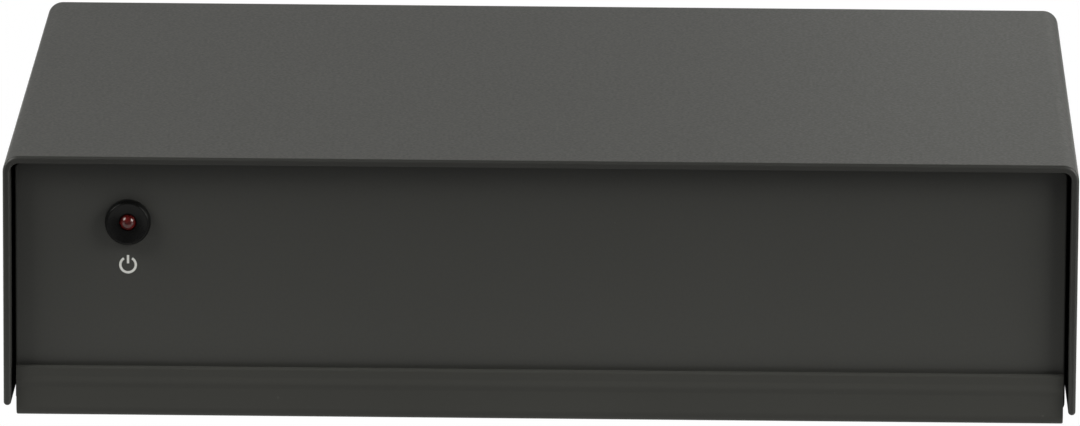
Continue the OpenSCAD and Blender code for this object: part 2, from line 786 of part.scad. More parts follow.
// The moulded body of a pair, with a nose behind each shell and a boss for the screw
module socket_block(x) {
    w = socket_pitch + 2 * block_side;
    z_block_top = z_socket + block_top;
    difference() {
        union() {
            translate([x - w / 2, y_rear_in - block_d, z_board_top])
                cube([w, block_d, z_block_top - z_board_top]);
            translate([x - block_boss_half, y_rear_in - block_boss_d, z_board_top])
                cube([2 * block_boss_half, block_boss_d, socket_h + block_screw_rise + block_boss_rise]);
            for (at = socket_xs(x)) rod([at, y_rear_in, z_socket], nose_d / 2, panel_t + nose_proud);
        }
        translate([x - block_notch_w / 2, y_rear_in - block_d - 1, z_board_top - 1])
            cube([block_notch_w, block_d + 1 - block_rear_wall, block_notch_h + 1]);
        for (at = socket_xs(x))
            rod([at, contact_end_y - contact_len, z_socket], contact_r + seat_gap, contact_len);
        rod([x, y_rear_in - block_screw_len, z_socket + block_screw_rise],
            small_screw_d / 2, block_screw_len + 1);
    }
}

// A shell, with its mouth's outer edge turned down
module socket_shell(x) turned([x, shell_y, z_socket]) {
    len = socket_reach - nose_proud;
    r = shell_d / 2;
    bore = r - shell_t;
    polygon([[bore, 0], [r, 0], [r, len - shell_edge_len], [r - shell_edge_t, len], [bore, len]]);
}

// A centre contact: a closed floor, a bore for the plug's pin and two crossed slits
module socket_contact(x) difference() {
    rod([x, contact_end_y - contact_len, z_socket], contact_r, contact_len);
    rod([x, contact_end_y - contact_bore_len, z_socket], contact_bore_d / 2, contact_bore_len + 1);
    for (turn = [0, 90]) translate([x, contact_end_y, z_socket]) rotate([0, turn, 0])
        translate([-contact_r - 1, -slit_len, -slit_w / 2]) cube([2 * contact_r + 2, slit_len + 1, slit_w]);
}

module socket_insert(x) turned([x, shell_y, z_socket]) {
    r = shell_d / 2 - shell_t - seat_gap;
    bore = contact_r + seat_gap;
    len = socket_reach - nose_proud - insert_recess;
    polygon([[bore, 0], [r, 0], [r, len], [bore + insert_chamfer, len], [bore, len - insert_chamfer]]);
}

module input_block() color("#161616") socket_block(input_x);
module output_block() color("#161616") socket_block(output_x);
module input_shells() color("#c9c9c4") for (x = socket_xs(input_x)) socket_shell(x);
module output_shells() color("#c9c9c4") for (x = socket_xs(output_x)) socket_shell(x);
module input_contacts() color("#c8b070") for (x = socket_xs(input_x)) socket_contact(x);
module output_contacts() color("#c8b070") for (x = socket_xs(output_x)) socket_contact(x);

// The left channel is white and the right one red, as on all such sockets
module left_inserts() color("#e9e7df") for (pair = [output_x, input_x]) socket_insert(socket_xs(pair)[1]);
module right_inserts() color("#b01818") for (pair = [output_x, input_x]) socket_insert(socket_xs(pair)[0]);

module socket_screws() color("#2a2a2a") for (pair = [output_x, input_x])
    translate([pair, y_rear, z_socket + block_screw_rise]) rotate([-90, 0, 0])
        screw(small_screw_d - 2 * thread_gap, block_screw_len, small_head_d, small_head_h);

// ---------------------------------------------------------------- ground terminal

// Places counted from the rear panel's outer face
module ground_stud() color("#b9b9b4") turned([ground_x, y_rear, ground_z]) {
    head_y = -panel_t - tag_t;
    translate([0, head_y - stud_head_h]) square([stud_head_d / 2, stud_head_h]);
    translate([0, head_y]) square([stud_d / 2, stud_reach - head_y]);
    translate([0, stud_reach - upset_len]) square([upset_d / 2, upset_len]);
}

module ground_lock_nut() color("#c4c4bf") difference() {
    rod([ground_x, y_rear, ground_z], lock_nut_af / 2 / cos(30), lock_nut_h, 6);
    rod([ground_x, y_rear - 1, ground_z], stud_d / 2 + thread_gap, lock_nut_h + 2);
}

module ground_tag() color("#c9c4b0") difference() {
    union() {
        rod([ground_x, y_rear_in - tag_t, ground_z], tag_end_r, tag_t);
        translate([ground_x - tag_tail_w / 2, y_rear_in - tag_t, ground_z])
            cube([tag_tail_w, tag_t, tag_len]);
    }
    rod([ground_x, y_rear_in - tag_t - 1, ground_z], stud_d / 2 + thread_gap, tag_t + 2);
    rod([ground_x, y_rear_in - tag_t - 1, ground_z + tag_len - tag_hole_drop], tag_hole_r, tag_t + 2);
}

module ground_wire() color("#2d7a35") {
    start = [ground_x, y_rear_in - tag_t, ground_z + tag_len - tag_hole_drop];
    end = on_board(ground_pad_x, ground_pad_row);
    wire(route(start, [0, -7, 0], end, [0, 0, 12]), wire_d, [1, 0.3, 0]);
}

module ground_washer() color("#c4c4bf")
    tube([ground_x, y_rear + lock_nut_h, ground_z], washer_d / 2, stud_d / 2 + hole_gap, washer_t);

// The thumb nut's knurl as a ring of teeth
module knurl() polygon([
    for (i = [0:2 * knurl_teeth - 1])
        let (a = 180 * i / knurl_teeth, r = thumb_nut_d / 2 - (i % 2) * knurl_depth) [r * cos(a), r * sin(a)]
]);

module ground_thumb_nut() color("#c4c4bf") {
    r_full = thumb_nut_d / 2 + 0.1;
    r_end = r_full - knurl_chamfer;
    translate([ground_x, y_rear + lock_nut_h + washer_t, ground_z]) rotate([-90, 0, 0]) difference() {
        union() {
            cylinder(r = thumb_nut_d / 2 - neck_inset, h = neck_len, $fn = 64);
            intersection() {
                translate([0, 0, neck_len]) linear_extrude(thumb_nut_len - neck_len) knurl();
                rotate_extrude($fn = 72) polygon([
                    [0, 0], [r_end, neck_len], [r_full, neck_len + knurl_chamfer],
                    [r_full, thumb_nut_len - knurl_chamfer], [r_end, thumb_nut_len], [0, thumb_nut_len]
                ]);
            }
        }
        translate([0, 0, -1]) cylinder(r = stud_d / 2 + run_gap, h = thumb_nut_len + 2, $fn = 64);
    }
}

// ---------------------------------------------------------------- power inlet and switch

module inlet_housing() color("#121212") difference() {
    union() {
        translate([-inlet_x - inlet_w / 2, y_rear_in - inlet_body_d, z_board_top])
            cube([inlet_w, inlet_body_d, inlet_h + inlet_top]);
        rod([-inlet_x, y_rear_in, z_inlet], inlet_nose_d / 2, panel_t);
    }
    rod([-inlet_x, y_rear - inlet_depth, z_inlet], inlet_bore_d / 2, inlet_depth + 1);
    translate([-inlet_x - inlet_w / 2 - 1, y_rear_in - inlet_body_d - 1, z_board_top + inlet_h])
        cube([inlet_w + 2, inlet_step_d + 1, inlet_top + 1]);
}

module inlet_contacts() color("#c9c9c4") turned([-inlet_x, y_rear - inlet_depth, z_inlet]) {
    r = inlet_pin_d / 2;
    len = inlet_depth - inlet_pin_recess;
    square([r, len - r]);
    intersection() {
        translate([0, len - r]) circle(r = r, $fn = 48);
        translate([0, len - r]) square([r, r]);
    }
}

module switch_frame() color("#a9a9a4") difference() {
    translate([-switch_x - switch_frame_w / 2, y_rear_in - switch_frame_t, switch_z - switch_frame_h / 2])
        cube([switch_frame_w, switch_frame_t, switch_frame_h]);
    translate([-switch_x - switch_slot_w / 2, y_rear_in - switch_frame_t - 1, switch_z - switch_slot_h / 2])
        cube([switch_slot_w, switch_frame_t + 2, switch_slot_h]);
    for (side = [-1, 1])
        rod([-switch_x + side * switch_screw_pitch / 2, y_rear_in - switch_frame_t - 1, switch_z],
            small_screw_d / 2, switch_frame_t + 2);
}

module switch_body() color("#5a3a22") difference() {
    cavity_w = switch_shoe_w + switch_travel + 2 * slide_gap;
    cavity_h = switch_shoe_h + 2 * slide_gap;
    y_face = y_rear_in - switch_frame_t;
    translate([-switch_x - switch_body_w / 2, y_face - switch_body_d, switch_z - switch_body_h / 2])
        cube([switch_body_w, switch_body_d, switch_body_h]);
    translate([-switch_x - cavity_w / 2, y_face - switch_cavity_d, switch_z - cavity_h / 2])
        cube([cavity_w, switch_cavity_d + 1, cavity_h]);
}

// The slider: a shoe behind the frame and a ribbed knob that sticks out of the slot
module switch_slider() color("#0e0e0e") {
    y_shoe = y_rear_in - switch_frame_t - slide_gap / 2 - switch_shoe_t;
    y_stem = y_shoe + switch_shoe_t / 2;
    y_knob = y_rear + switch_knob_reach;
    groove = 0.5;
    translate([switch_rest_x - switch_shoe_w / 2, y_shoe, switch_z - switch_shoe_h / 2])
        cube([switch_shoe_w, switch_shoe_t, switch_shoe_h]);
    difference() {
        translate([switch_rest_x - switch_knob_w / 2, y_stem, switch_z - switch_knob_h / 2])
            cube([switch_knob_w, y_knob - y_stem, switch_knob_h]);
        for (i = [-1, 0, 1])
            translate([switch_rest_x + (2 * i - 0.5) * groove, y_knob - groove, switch_z - switch_knob_h])
                cube([groove, groove + 1, 2 * switch_knob_h]);
    }
}

// The lugs' places: two rows of three
function switch_lug_xs() = [for (i = [-1, 0, 1]) -switch_x + i * switch_lug_pitch];
switch_lug_y = y_rear_in - switch_frame_t - switch_body_d - switch_lug_len;
switch_lug_rise = 2;

module switch_terminals() color("silver") for (x = switch_lug_xs(), side = [-1, 1])
    translate([x - switch_lug_w / 2, switch_lug_y, switch_z + side * switch_lug_rise - switch_lug_t / 2])
        cube([switch_lug_w, switch_lug_len, switch_lug_t]);

module switch_screws() color("#2a2a2a") for (side = [-1, 1])
    translate([-switch_x + side * switch_screw_pitch / 2, y_rear, switch_z]) rotate([-90, 0, 0])
        screw(small_screw_d - 2 * thread_gap, switch_screw_len, small_head_d, small_head_h);

// The middle of the switch wires' board connector
switch_header_at = on_board(switch_header_x, switch_header_row);

module switch_wires() color("#202020") for (i = [0, 1]) {
    start = [switch_lug_xs()[i], switch_lug_y, switch_z + switch_lug_rise];
    end = switch_header_at + [(i - 0.5) * led_leg_pitch, 0, header_base_h];
    wire(route(start, [0, -6, 0], end, [0, 0, 8]), wire_d, [1, 0.1, 0]);
}

module switch_header() color("#efece2") block(switch_header_at, [header_w, header_d, header_base_h]);

// ---------------------------------------------------------------- circuit board

module circuit_board() color("#1d5c33") difference() {
    translate([board_left, y_board_front, z_board]) cube([board_w, board_d, board_t]);
    at_each(board_screw_xs(), board_screw_ys())
        translate([0, 0, z_board - 1]) cylinder(r = screw_d / 2 + hole_gap, h = board_t + 2, $fn = 48);
}

module board_standoffs() color("#c8b46a") at_each(board_screw_xs(), board_screw_ys())
    translate([0, 0, z_floor]) difference() {
        cylinder(r = standoff_af / 2 / cos(30), h = standoff_h, $fn = 6);
        translate([0, 0, -1]) cylinder(r = screw_d / 2, h = standoff_h + 2, $fn = 48);
    }

// The screws of one standoff leave this much free between their tips
tip_gap = 0.6;
board_screw_len = min(screw_len, board_t + standoff_h / 2 - tip_gap / 2);
standoff_screw_len = min(screw_len, tray_t + standoff_h / 2 - tip_gap / 2);

module board_screws() color("silver") at_each(board_screw_xs(), board_screw_ys())
    translate([0, 0, z_board_top])
        screw(screw_d - 2 * thread_gap, board_screw_len, screw_head_d, screw_head_h);

module standoff_screws() color("#1c1c1b") at_each(board_screw_xs(), board_screw_ys())
    translate([0, 0, z_tray]) rotate([180, 0, 0])
        screw(screw_d - 2 * thread_gap, standoff_screw_len, screw_head_d, screw_head_h);

// A socket is a frame with two rails for the legs and an open middle
module amp_sockets() color("#1a1a1a") for (x = chip_x) difference() {
    socket_w = chip_span + 2 * chip_socket_rim;
    socket_len = chip_len + chip_socket_rim;
    block(on_board(x, chip_row), [socket_w, socket_len, chip_socket_h]);
    block(on_board(x, chip_row) + [0, 0, chip_socket_floor],
        [socket_w - 2 * chip_socket_rail, socket_len - 2 * chip_socket_end, chip_socket_h]);
}

module amp_chips() color("#101010") for (x = chip_x) translate(on_board(x, chip_row) + [0, 0, chip_socket_h])
    difference() {
        block([0, 0, chip_lift], [chip_w, chip_len, chip_h]);
        translate([0, chip_len / 2, chip_lift + chip_h - chip_dot_depth])
            cylinder(r = chip_dot_r, h = 1, $fn = 32);
    }

// Each leg is an angle: out of the chip's side and down to the socket
module amp_chip_legs() color("silver") for (x = chip_x, side = [-1, 1], i = [0:3])
    translate(on_board(x, chip_row) + [side * chip_w / 2, (i - 1.5) * chip_pitch, chip_socket_h]) {
        out = (chip_span - chip_w) / 2;
        mirror([side < 0 ? 1 : 0, 0, 0]) {
            translate([0, -leg_w / 2, leg_drop]) cube([out + leg_t, leg_w, leg_t]);
            translate([out, -leg_w / 2, 0]) cube([leg_t, leg_w, leg_drop + leg_t / 2]);
        }
    }

// An upright can capacitor with its rolled groove
module can_capacitor(d, h) rotate_extrude($fn = 64) difference() {
    union() {
        square([d / 2 - can_edge_r, h]);
        square([d / 2, h - can_edge_r]);
        translate([d / 2 - can_edge_r, h - can_edge_r]) circle(r = can_edge_r, $fn = 24);
    }
    translate([d / 2, can_groove_z]) circle(r = can_groove_r, $fn = 24);
}

module filter_capacitors() color("#1b2340") for (x = filter_cap_x)
    translate(on_board(x, filter_row)) can_capacitor(filter_cap_d, filter_cap_h);

module coupling_capacitors() color("#20242c") for (x = coupling_cap_x)
    translate(on_board(x, coupling_row)) can_capacitor(coupling_cap_d, coupling_cap_h);

module film_capacitors() color("#b3301f") for (x = film_cap_x)
    block(on_board(x, film_row), [film_w, film_len, film_h]);

// The height of a lying component's middle above the board
function lying(d) = d / 2 + body_lift;

// A lying resistor: two end caps and a slimmer waist, turned about X
module resistor_body() rotate([0, 90, 0]) rotate_extrude($fn = 32) {
    cap = resistor_cap_len;
    r = resistor_d / 2;
    translate([0, -resistor_len / 2]) square([r - resistor_waist, resistor_len]);
    for (end = [-resistor_len / 2, resistor_len / 2 - cap]) translate([0, end]) square([r, cap]);
}

// One bent lead: out of a lying body's end along +X, then down to the board
module bent_lead(rise) {
    drop = rise - lead_bend_r;
    rotate([0, 90, 0]) cylinder(d = lead_d, h = lead_out, $fn = 16);
    translate([lead_out, 0, -lead_bend_r]) rotate([90, 0, 0])
        rotate_extrude(angle = 90, $fn = 32) translate([lead_bend_r, 0]) circle(d = lead_d, $fn = 16);
    if (drop > 0) translate([lead_out + lead_bend_r, 0, -rise]) cylinder(d = lead_d, h = drop, $fn = 16);
}

function resistor_xs() = [for (i = [0:resistor_count - 1]) resistor_x + i * resistor_pitch];

// Resistors stand across the rows, so that each one's body lies along Y
module across(x, row, d) translate(on_board(x, row) + [0, 0, lying(d)]) rotate([0, 0, 90]) children();

module resistors() color("#8fb3c8") for (row = resistor_rows, x = resistor_xs())
    across(x, row, resistor_d) resistor_body();

module resistor_leads() color("silver") for (row = resistor_rows, x = resistor_xs(), turn = [0, 180])
    across(x, row, resistor_d) rotate([0, 0, turn]) translate([resistor_len / 2, 0, 0])
        bent_lead(lying(resistor_d));

module rectifier_diodes() color("#151515") for (x = diode_xs) across(x, diode_row, diode_d)
    rotate([0, 90, 0]) translate([0, 0, -diode_len / 2]) cylinder(d = diode_d, h = diode_len, $fn = 32);

module diode_leads() color("silver") for (x = diode_xs, turn = [0, 180]) across(x, diode_row, diode_d)
    rotate([0, 0, turn]) translate([diode_len / 2, 0, 0]) bent_lead(lying(diode_d));

// The regulators stand with their tabs against the heat sink
module regulators() color("#141414") for (x = regulator_xs)
    translate(on_board(x, regulator_row) + [0, 0, regulator_rise]) difference() {
        union() {
            block([0, 0, 0], [regulator_w, regulator_t, regulator_h]);
            block([0, regulator_t / 2 - regulator_tab_t / 2, regulator_h],
                [regulator_w, regulator_tab_t, regulator_tab_h]);
        }
        rod([0, regulator_t / 2 - regulator_tab_t - 1, regulator_h + regulator_tab_h / 2],
            small_screw_d / 2 + hole_gap, regulator_tab_t + 2);
    }

module regulator_legs() color("silver") for (x = regulator_xs, i = [-1, 0, 1])
    block(on_board(x + i * chip_pitch, regulator_row), [regulator_leg_w, regulator_leg_t, regulator_rise]);

// The face that the regulators' tabs lie on
heat_sink_y = on_board(heat_sink_x, regulator_row)[1] + regulator_t / 2;

module regulator_screws() color("silver") for (x = regulator_xs)
    translate([x, heat_sink_y - regulator_tab_t, regulator_screw_z]) rotate([90, 0, 0])
        screw(small_screw_d - 2 * thread_gap, regulator_screw_len, small_head_d, small_head_h);

// The screws' tips end between two fins
module heat_sink() color("#8d8f90") difference() {
    translate([heat_sink_x - heat_sink_w / 2, heat_sink_y, z_board_top]) {
        cube([heat_sink_w, heat_sink_base_t, heat_sink_h]);
        for (i = [0:heat_sink_fins - 1]) translate([i * heat_sink_step, heat_sink_base_t / 2, 0])
            cube([heat_sink_fin_t, heat_sink_fin_len, heat_sink_h]);
    }
    for (x = regulator_xs)
        rod([x, heat_sink_y - 1, regulator_screw_z], small_screw_d / 2, heat_sink_base_t + 2);
}

// ---------------------------------------------------------------- what is drawn

top_cover();
base_tray();
front_panel();
rear_panel();
cover_screws();
front_panel_screws();
rear_panel_screws();
rubber_feet();
lamp_bezel();
lamp_ring();
lamp_led();
lamp_leads();
lamp_wires();
lamp_plug();
lamp_header();
input_block();
output_block();
input_shells();
output_shells();
input_contacts();
output_contacts();
left_inserts();
right_inserts();
socket_screws();
ground_stud();
ground_lock_nut();
ground_tag();
ground_wire();
ground_washer();
ground_thumb_nut();
inlet_housing();
inlet_contacts();
switch_frame();
switch_body();
switch_slider();
switch_terminals();
switch_screws();
switch_wires();
switch_header();
circuit_board();
board_standoffs();
board_screws();
standoff_screws();
amp_chips();
amp_chip_legs();
amp_sockets();
filter_capacitors();
coupling_capacitors();
film_capacitors();
resistors();
resistor_leads();
rectifier_diodes();
diode_leads();
regulators();
regulator_legs();
regulator_screws();
heat_sink();
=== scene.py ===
"""Looks of a phono preamp: a low black steel case with a red lamp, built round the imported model.

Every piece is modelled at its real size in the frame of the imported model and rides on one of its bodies.
"""

from __future__ import annotations

import logging
import math
from abc import ABC, abstractmethod
from collections.abc import Callable, Iterator, Sequence
from contextlib import contextmanager
from dataclasses import dataclass, field
from enum import Enum

import bmesh
import bpy
from mathutils import Euler, Matrix, Vector

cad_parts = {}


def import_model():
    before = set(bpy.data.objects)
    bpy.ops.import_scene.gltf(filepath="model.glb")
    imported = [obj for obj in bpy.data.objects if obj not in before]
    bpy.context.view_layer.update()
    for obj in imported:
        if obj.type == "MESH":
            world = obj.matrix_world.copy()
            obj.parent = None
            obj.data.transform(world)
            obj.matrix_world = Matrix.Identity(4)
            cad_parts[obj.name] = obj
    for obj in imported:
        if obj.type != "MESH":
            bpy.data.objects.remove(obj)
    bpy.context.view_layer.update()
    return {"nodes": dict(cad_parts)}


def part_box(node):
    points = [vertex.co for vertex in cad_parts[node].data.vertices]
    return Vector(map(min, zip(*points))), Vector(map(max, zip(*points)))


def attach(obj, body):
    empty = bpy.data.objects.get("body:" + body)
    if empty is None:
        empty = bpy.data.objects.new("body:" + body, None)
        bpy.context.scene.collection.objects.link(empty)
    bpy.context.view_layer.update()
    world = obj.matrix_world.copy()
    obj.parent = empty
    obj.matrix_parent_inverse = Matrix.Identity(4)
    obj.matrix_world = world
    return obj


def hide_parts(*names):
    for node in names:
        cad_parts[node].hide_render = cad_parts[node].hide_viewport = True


log = logging.getLogger("preamp")

MM = 0.001
POLE = 0.001 * MM  # radius that stands for a point on the axis while a piece is turned
WELD = 3 * POLE  # corners nearer than this become one
FLUSH = 0.01 * MM  # how close to a plane or a circle counts as lying on it
NEAR = 0.1 * MM  # how close to a piece's end counts as belonging to it
OVERCUT = 0.3 * MM  # how far a cutter stands out of what it cuts
FACING = 0.9  # how far a unit normal has to point one way
PARALLEL = 0.999  # cosine from which an edge counts as parallel
FLAT = 0.5  # degrees up to which neighbouring faces are one
SHARP = 35  # degrees from which an edge is rounded
NOISE_SPAN = 0.2  # how far a noise mostly strays from its middle value of 0.5
MIX_COLOURS, MIX_RESULT = (6, 7), 2  # sockets of a Mix node that mixes colours
BLACK_PLASTIC = "black_plastic"  # a slot that many pieces share

Colour = tuple[float, float, float]
Profile = Sequence[tuple[float, float]]
Inputs = dict[str | int, object]
Piece = bpy.types.Object
Edge = bmesh.types.BMEdge
Material = bpy.types.Material
Socket = bpy.types.NodeSocket


class Body(Enum):
    """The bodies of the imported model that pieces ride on."""

    CASE = "case"
    WASHER = "washer"
    THUMB_NUT = "thumb_nut"
    SLIDER = "slider"


class Pick(Enum):
    """What an edit selects."""

    FACES = "FACE"
    EDGES = "EDGE"
    VERTS = "VERT"


class Axis(Enum):
    """The direction that a turned piece grows in, as the turn that brings +Z there."""

    UP = (0.0, 0.0, 0.0)
    DOWN = (math.pi, 0.0, 0.0)
    BACK = (-math.pi / 2, 0.0, 0.0)
    FRONT = (math.pi / 2, 0.0, 0.0)
    RIGHT = (0.0, math.pi / 2, 0.0)
    LEFT = (0.0, -math.pi / 2, 0.0)

    def placed(self, at: Vector) -> Matrix:
        """The matrix that stands a piece made along +Z at a place, along this direction."""
        return Matrix.Translation(at) @ Euler(self.value).to_matrix().to_4x4()


# ---------------------------------------------------------------- modelling tools


def only(*pieces: Piece) -> None:
    """Selects these pieces alone and makes the last one active.

    Args:
        pieces: the pieces to select.
    """
    bpy.ops.object.select_all(action="DESELECT")
    for piece in pieces:
        piece.select_set(True)
    bpy.context.view_layer.objects.active = pieces[-1]


@contextmanager
def editing(piece: Piece, pick: Pick, everything: bool = False) -> Iterator[None]:
    """Edit mode on one piece.

    Args:
        piece: the piece to edit.
        pick: whether faces, edges or vertices are selected.
        everything: start with all of it selected, and not with nothing.
    """
    only(piece)
    bpy.ops.object.mode_set(mode="EDIT")
    bpy.ops.mesh.select_mode(type=pick.value)
    bpy.ops.mesh.select_all(action="SELECT" if everything else "DESELECT")
    yield
    bpy.ops.object.mode_set(mode="OBJECT")


def select(piece: Piece, pick: Pick, test: Callable[..., bool]) -> None:
    """Selects the faces, edges or vertices that pass a test, and nothing else.

    Args:
        piece: the piece in edit mode.
        pick: which of them are tested.
        test: says of one face, edge or vertex whether it is selected.
    """
    mesh = bmesh.from_edit_mesh(piece.data)
    elements = {Pick.FACES: mesh.faces, Pick.EDGES: mesh.edges, Pick.VERTS: mesh.verts}[pick]
    bpy.ops.mesh.select_all(action="DESELECT")
    for element in elements:
        if test(element):
            element.select_set(True)
    bmesh.update_edit_mesh(piece.data)


def middle(edge: Edge) -> Vector:
    """The middle of an edge."""
    return (edge.verts[0].co + edge.verts[1].co) / 2


def runs_deep(edge: Edge) -> bool:
    """Whether an edge runs from front to back."""
    line = edge.verts[1].co - edge.verts[0].co
    return abs(line.normalized().y) > PARALLEL


def weld() -> None:
    """Joins the corners that coincide in the piece that is being edited, and turns its faces outwards."""
    bpy.ops.mesh.select_all(action="SELECT")
    bpy.ops.mesh.remove_doubles(threshold=WELD)
    bpy.ops.mesh.normals_make_consistent(inside=False)


def started(name: str) -> Piece:
    """Names the piece that an operator has just added, and moves its place and scale into its mesh.

    Args:
        name: the piece's name.

    Returns:
        The piece, with its object at the origin.
    """
    piece = bpy.context.active_object
    piece.name = name
    only(piece)
    bpy.ops.object.transform_apply(location=True, rotation=True, scale=True)
    return piece


def apply_modifier(piece: Piece, kind: str, **settings: object) -> None:
    """Adds a modifier with these settings and applies it.

    Args:
        piece: the piece that takes it.
        kind: Blender's name for the modifier.
        settings: the modifier's values.
    """
    only(piece)
    modifier = piece.modifiers.new(kind.title(), kind)
    for key, value in settings.items():
        setattr(modifier, key, value)
    bpy.ops.object.modifier_apply(modifier=modifier.name)


def block(name: str, low: Vector, high: Vector) -> Piece:
    """A cube between two corners, as the start of a piece.

    Args:
        name: the piece's name.
        low: its lowest corner.
        high: its highest corner.

    Returns:
        The piece, with its place in its mesh.
    """
    bpy.ops.object.select_all(action="DESELECT")
    bpy.ops.mesh.primitive_cube_add(size=1, location=(low + high) / 2, scale=high - low)
    return started(name)


def carve(piece: Piece, cutter: Piece) -> None:
    """Cuts a closed cutter out of a piece and throws the cutter away."""
    apply_modifier(piece, "BOOLEAN", operation="DIFFERENCE", solver="EXACT", object=cutter)
    bpy.data.objects.remove(cutter)


def shade(piece: Piece, crease: float = 40) -> None:
    """Smooth shading that keeps creases and large flat faces.

    Args:
        piece: the finished piece.
        crease: sharpest bend in degrees that is shaded smooth.
    """
    only(piece)
    bpy.ops.object.shade_smooth_by_angle(angle=math.radians(crease))
    apply_modifier(piece, "WEIGHTED_NORMAL", keep_sharp=True)


def round_edges(piece: Piece, width: float, segments: int = 2) -> None:
    """Rounds a piece's sharp edges and shades it.

    Args:
        piece: the piece.
        width: how far the rounding reaches from each edge.
        segments: how many faces it has.
    """
    limit = math.radians(SHARP)
    apply_modifier(piece, "BEVEL", width=width, segments=segments, limit_method="ANGLE", angle_limit=limit)
    shade(piece)


def copy_at(piece: Piece, name: str, spots: Sequence[Matrix]) -> Piece:
    """Copies a piece that was made at the origin to each of its places, as one piece.

    Args:
        piece: the pattern, which is used up.
        name: the name of the result.
        spots: where each copy stands.

    Returns:
        All copies joined, with their places in the mesh.
    """
    copies = []
    for spot in spots:
        copy = bpy.data.objects.new(name, piece.data.copy())
        copy.data.transform(spot)
        bpy.context.scene.collection.objects.link(copy)
        copies.append(copy)
    bpy.data.objects.remove(piece)
    only(*copies)
    if len(copies) > 1:
        bpy.ops.object.join()
    joined = bpy.context.active_object
    joined.name = name
    return joined


def merged_copy(node: str, name: str) -> Piece:
    """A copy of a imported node's mesh with its faces joined, ready for editing.

    Args:
        node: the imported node.
        name: the new piece's name.

    Returns:
        The piece.
    """
    piece = bpy.data.objects.new(name, bpy.data.objects[node].data.copy())
    bpy.context.scene.collection.objects.link(piece)
    piece.data.materials.clear()
    only(piece)
    bpy.ops.mesh.customdata_custom_splitnormals_clear()
    with editing(piece, Pick.VERTS, everything=True):
        bpy.ops.mesh.remove_doubles(threshold=WELD)
        bpy.ops.mesh.dissolve_limited(angle_limit=math.radians(FLAT))
    return piece


def spread(low: float, high: float, count: int) -> list[float]:
    """Evenly spaced values from low to high, or the middle where only one is asked for."""
    return [low + (high - low) * i / (count - 1) for i in range(count)] if count > 1 else [(low + high) / 2]


def hand_over(piece: Piece, finish: Finish, slot: str, *nodes: str, body: Body = Body.CASE) -> None:
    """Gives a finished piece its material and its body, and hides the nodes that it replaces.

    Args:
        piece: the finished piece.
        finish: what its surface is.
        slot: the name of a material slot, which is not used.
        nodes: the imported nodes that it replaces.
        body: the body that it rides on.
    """
    if not piece.data.materials:
        piece.data.materials.append(finish.material())
    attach(piece, body.value)
    if nodes:
        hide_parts(*nodes)
    faces = len(piece.data.polygons)
    log.info("%s: %d faces, in place of %s", piece.name, faces, ", ".join(nodes) or "nothing")


# ---------------------------------------------------------------- turned shapes


def arc(centre: tuple[float, float], radius: float, start: float, end: float, steps: int = 6) -> Profile:
    """Points of an arc in a profile. Its angles are in degrees, counted from outwards towards up."""
    angles = [math.radians(start + (end - start) * i / steps) for i in range(steps + 1)]
    return [(centre[0] + radius * math.cos(a), centre[1] + radius * math.sin(a)) for a in angles]


def outline(corner: tuple[float, float], steps: Profile) -> Profile:
    """Points of a profile that are given as steps from a corner."""
    return [(corner[0] + out, corner[1] + up) for out, up in steps]


def thread_points(crest: float, root: float, start: float, pitch: float, turns: int, land: float) -> Profile:
    """Three rings for each turn of a thread. The land is the share of the pitch up to a flank."""
    rings = ((crest, land), (root, 0.5), (crest, 1 - land))
    return [(radius, start + (turn + share) * pitch) for turn in range(turns) for radius, share in rings]


def turn_up(name: str, profile: Profile, steps: int) -> Piece:
    """A piece turned on a lathe, ring by ring along +Z, about the world's Z axis.

    Args:
        name: the piece's name.
        profile: radius and height of each ring. On a tube it ends where it starts, and radius 0 is a point.
        steps: how many sides each ring has.

    Returns:
        The closed piece, standing at the origin.
    """
    rings = [(max(radius, POLE), height) for radius, height in profile]
    radius, height = rings[0]
    bpy.ops.object.select_all(action="DESELECT")
    bpy.ops.mesh.primitive_circle_add(vertices=steps, radius=radius, location=(0, 0, height))
    piece = started(name)
    is_tube = tuple(profile[0]) == tuple(profile[-1])
    with editing(piece, Pick.EDGES, everything=True):
        if not is_tube and radius > POLE:
            bpy.ops.mesh.edge_face_add()
        for next_radius, next_height in rings[1:]:
            bpy.ops.mesh.extrude_region_move(TRANSFORM_OT_translate={"value": (0, 0, next_height - height)})
            scale = next_radius / radius
            bpy.ops.transform.resize(value=(scale, scale, 1), center_override=(0, 0, next_height))
            radius, height = next_radius, next_height
        if not is_tube and radius > POLE:
            bpy.ops.mesh.edge_face_add()
        weld()
    return piece


# ---------------------------------------------------------------- node trees


class NodeTree:
    """A node tree that grows one node at a time."""

    def __init__(self, owner: Material | bpy.types.World, bare: bool = True) -> None:
        """Turns the owner's nodes on.

        Args:
            owner: the material or the world.
            bare: take its first nodes out.
        """
        owner.use_nodes = True
        self.tree = owner.node_tree
        if bare:
            self.tree.nodes.clear()

    def add(self, kind: str, inputs: Inputs | None = None, **settings: object) -> bpy.types.Node:
        """Adds a node.

        Args:
            kind: the node's type without the ShaderNode in front.
            inputs: a value or another node's output for each input.
            settings: the node's own settings.

        Returns:
            The node.
        """
        node = self.tree.nodes.new("ShaderNode" + kind)
        for key, value in settings.items():
            setattr(node, key, value)
        for key, value in (inputs or {}).items():
            if isinstance(value, Socket):
                self.tree.links.new(value, node.inputs[key])
            else:
                node.inputs[key].default_value = value
        return node


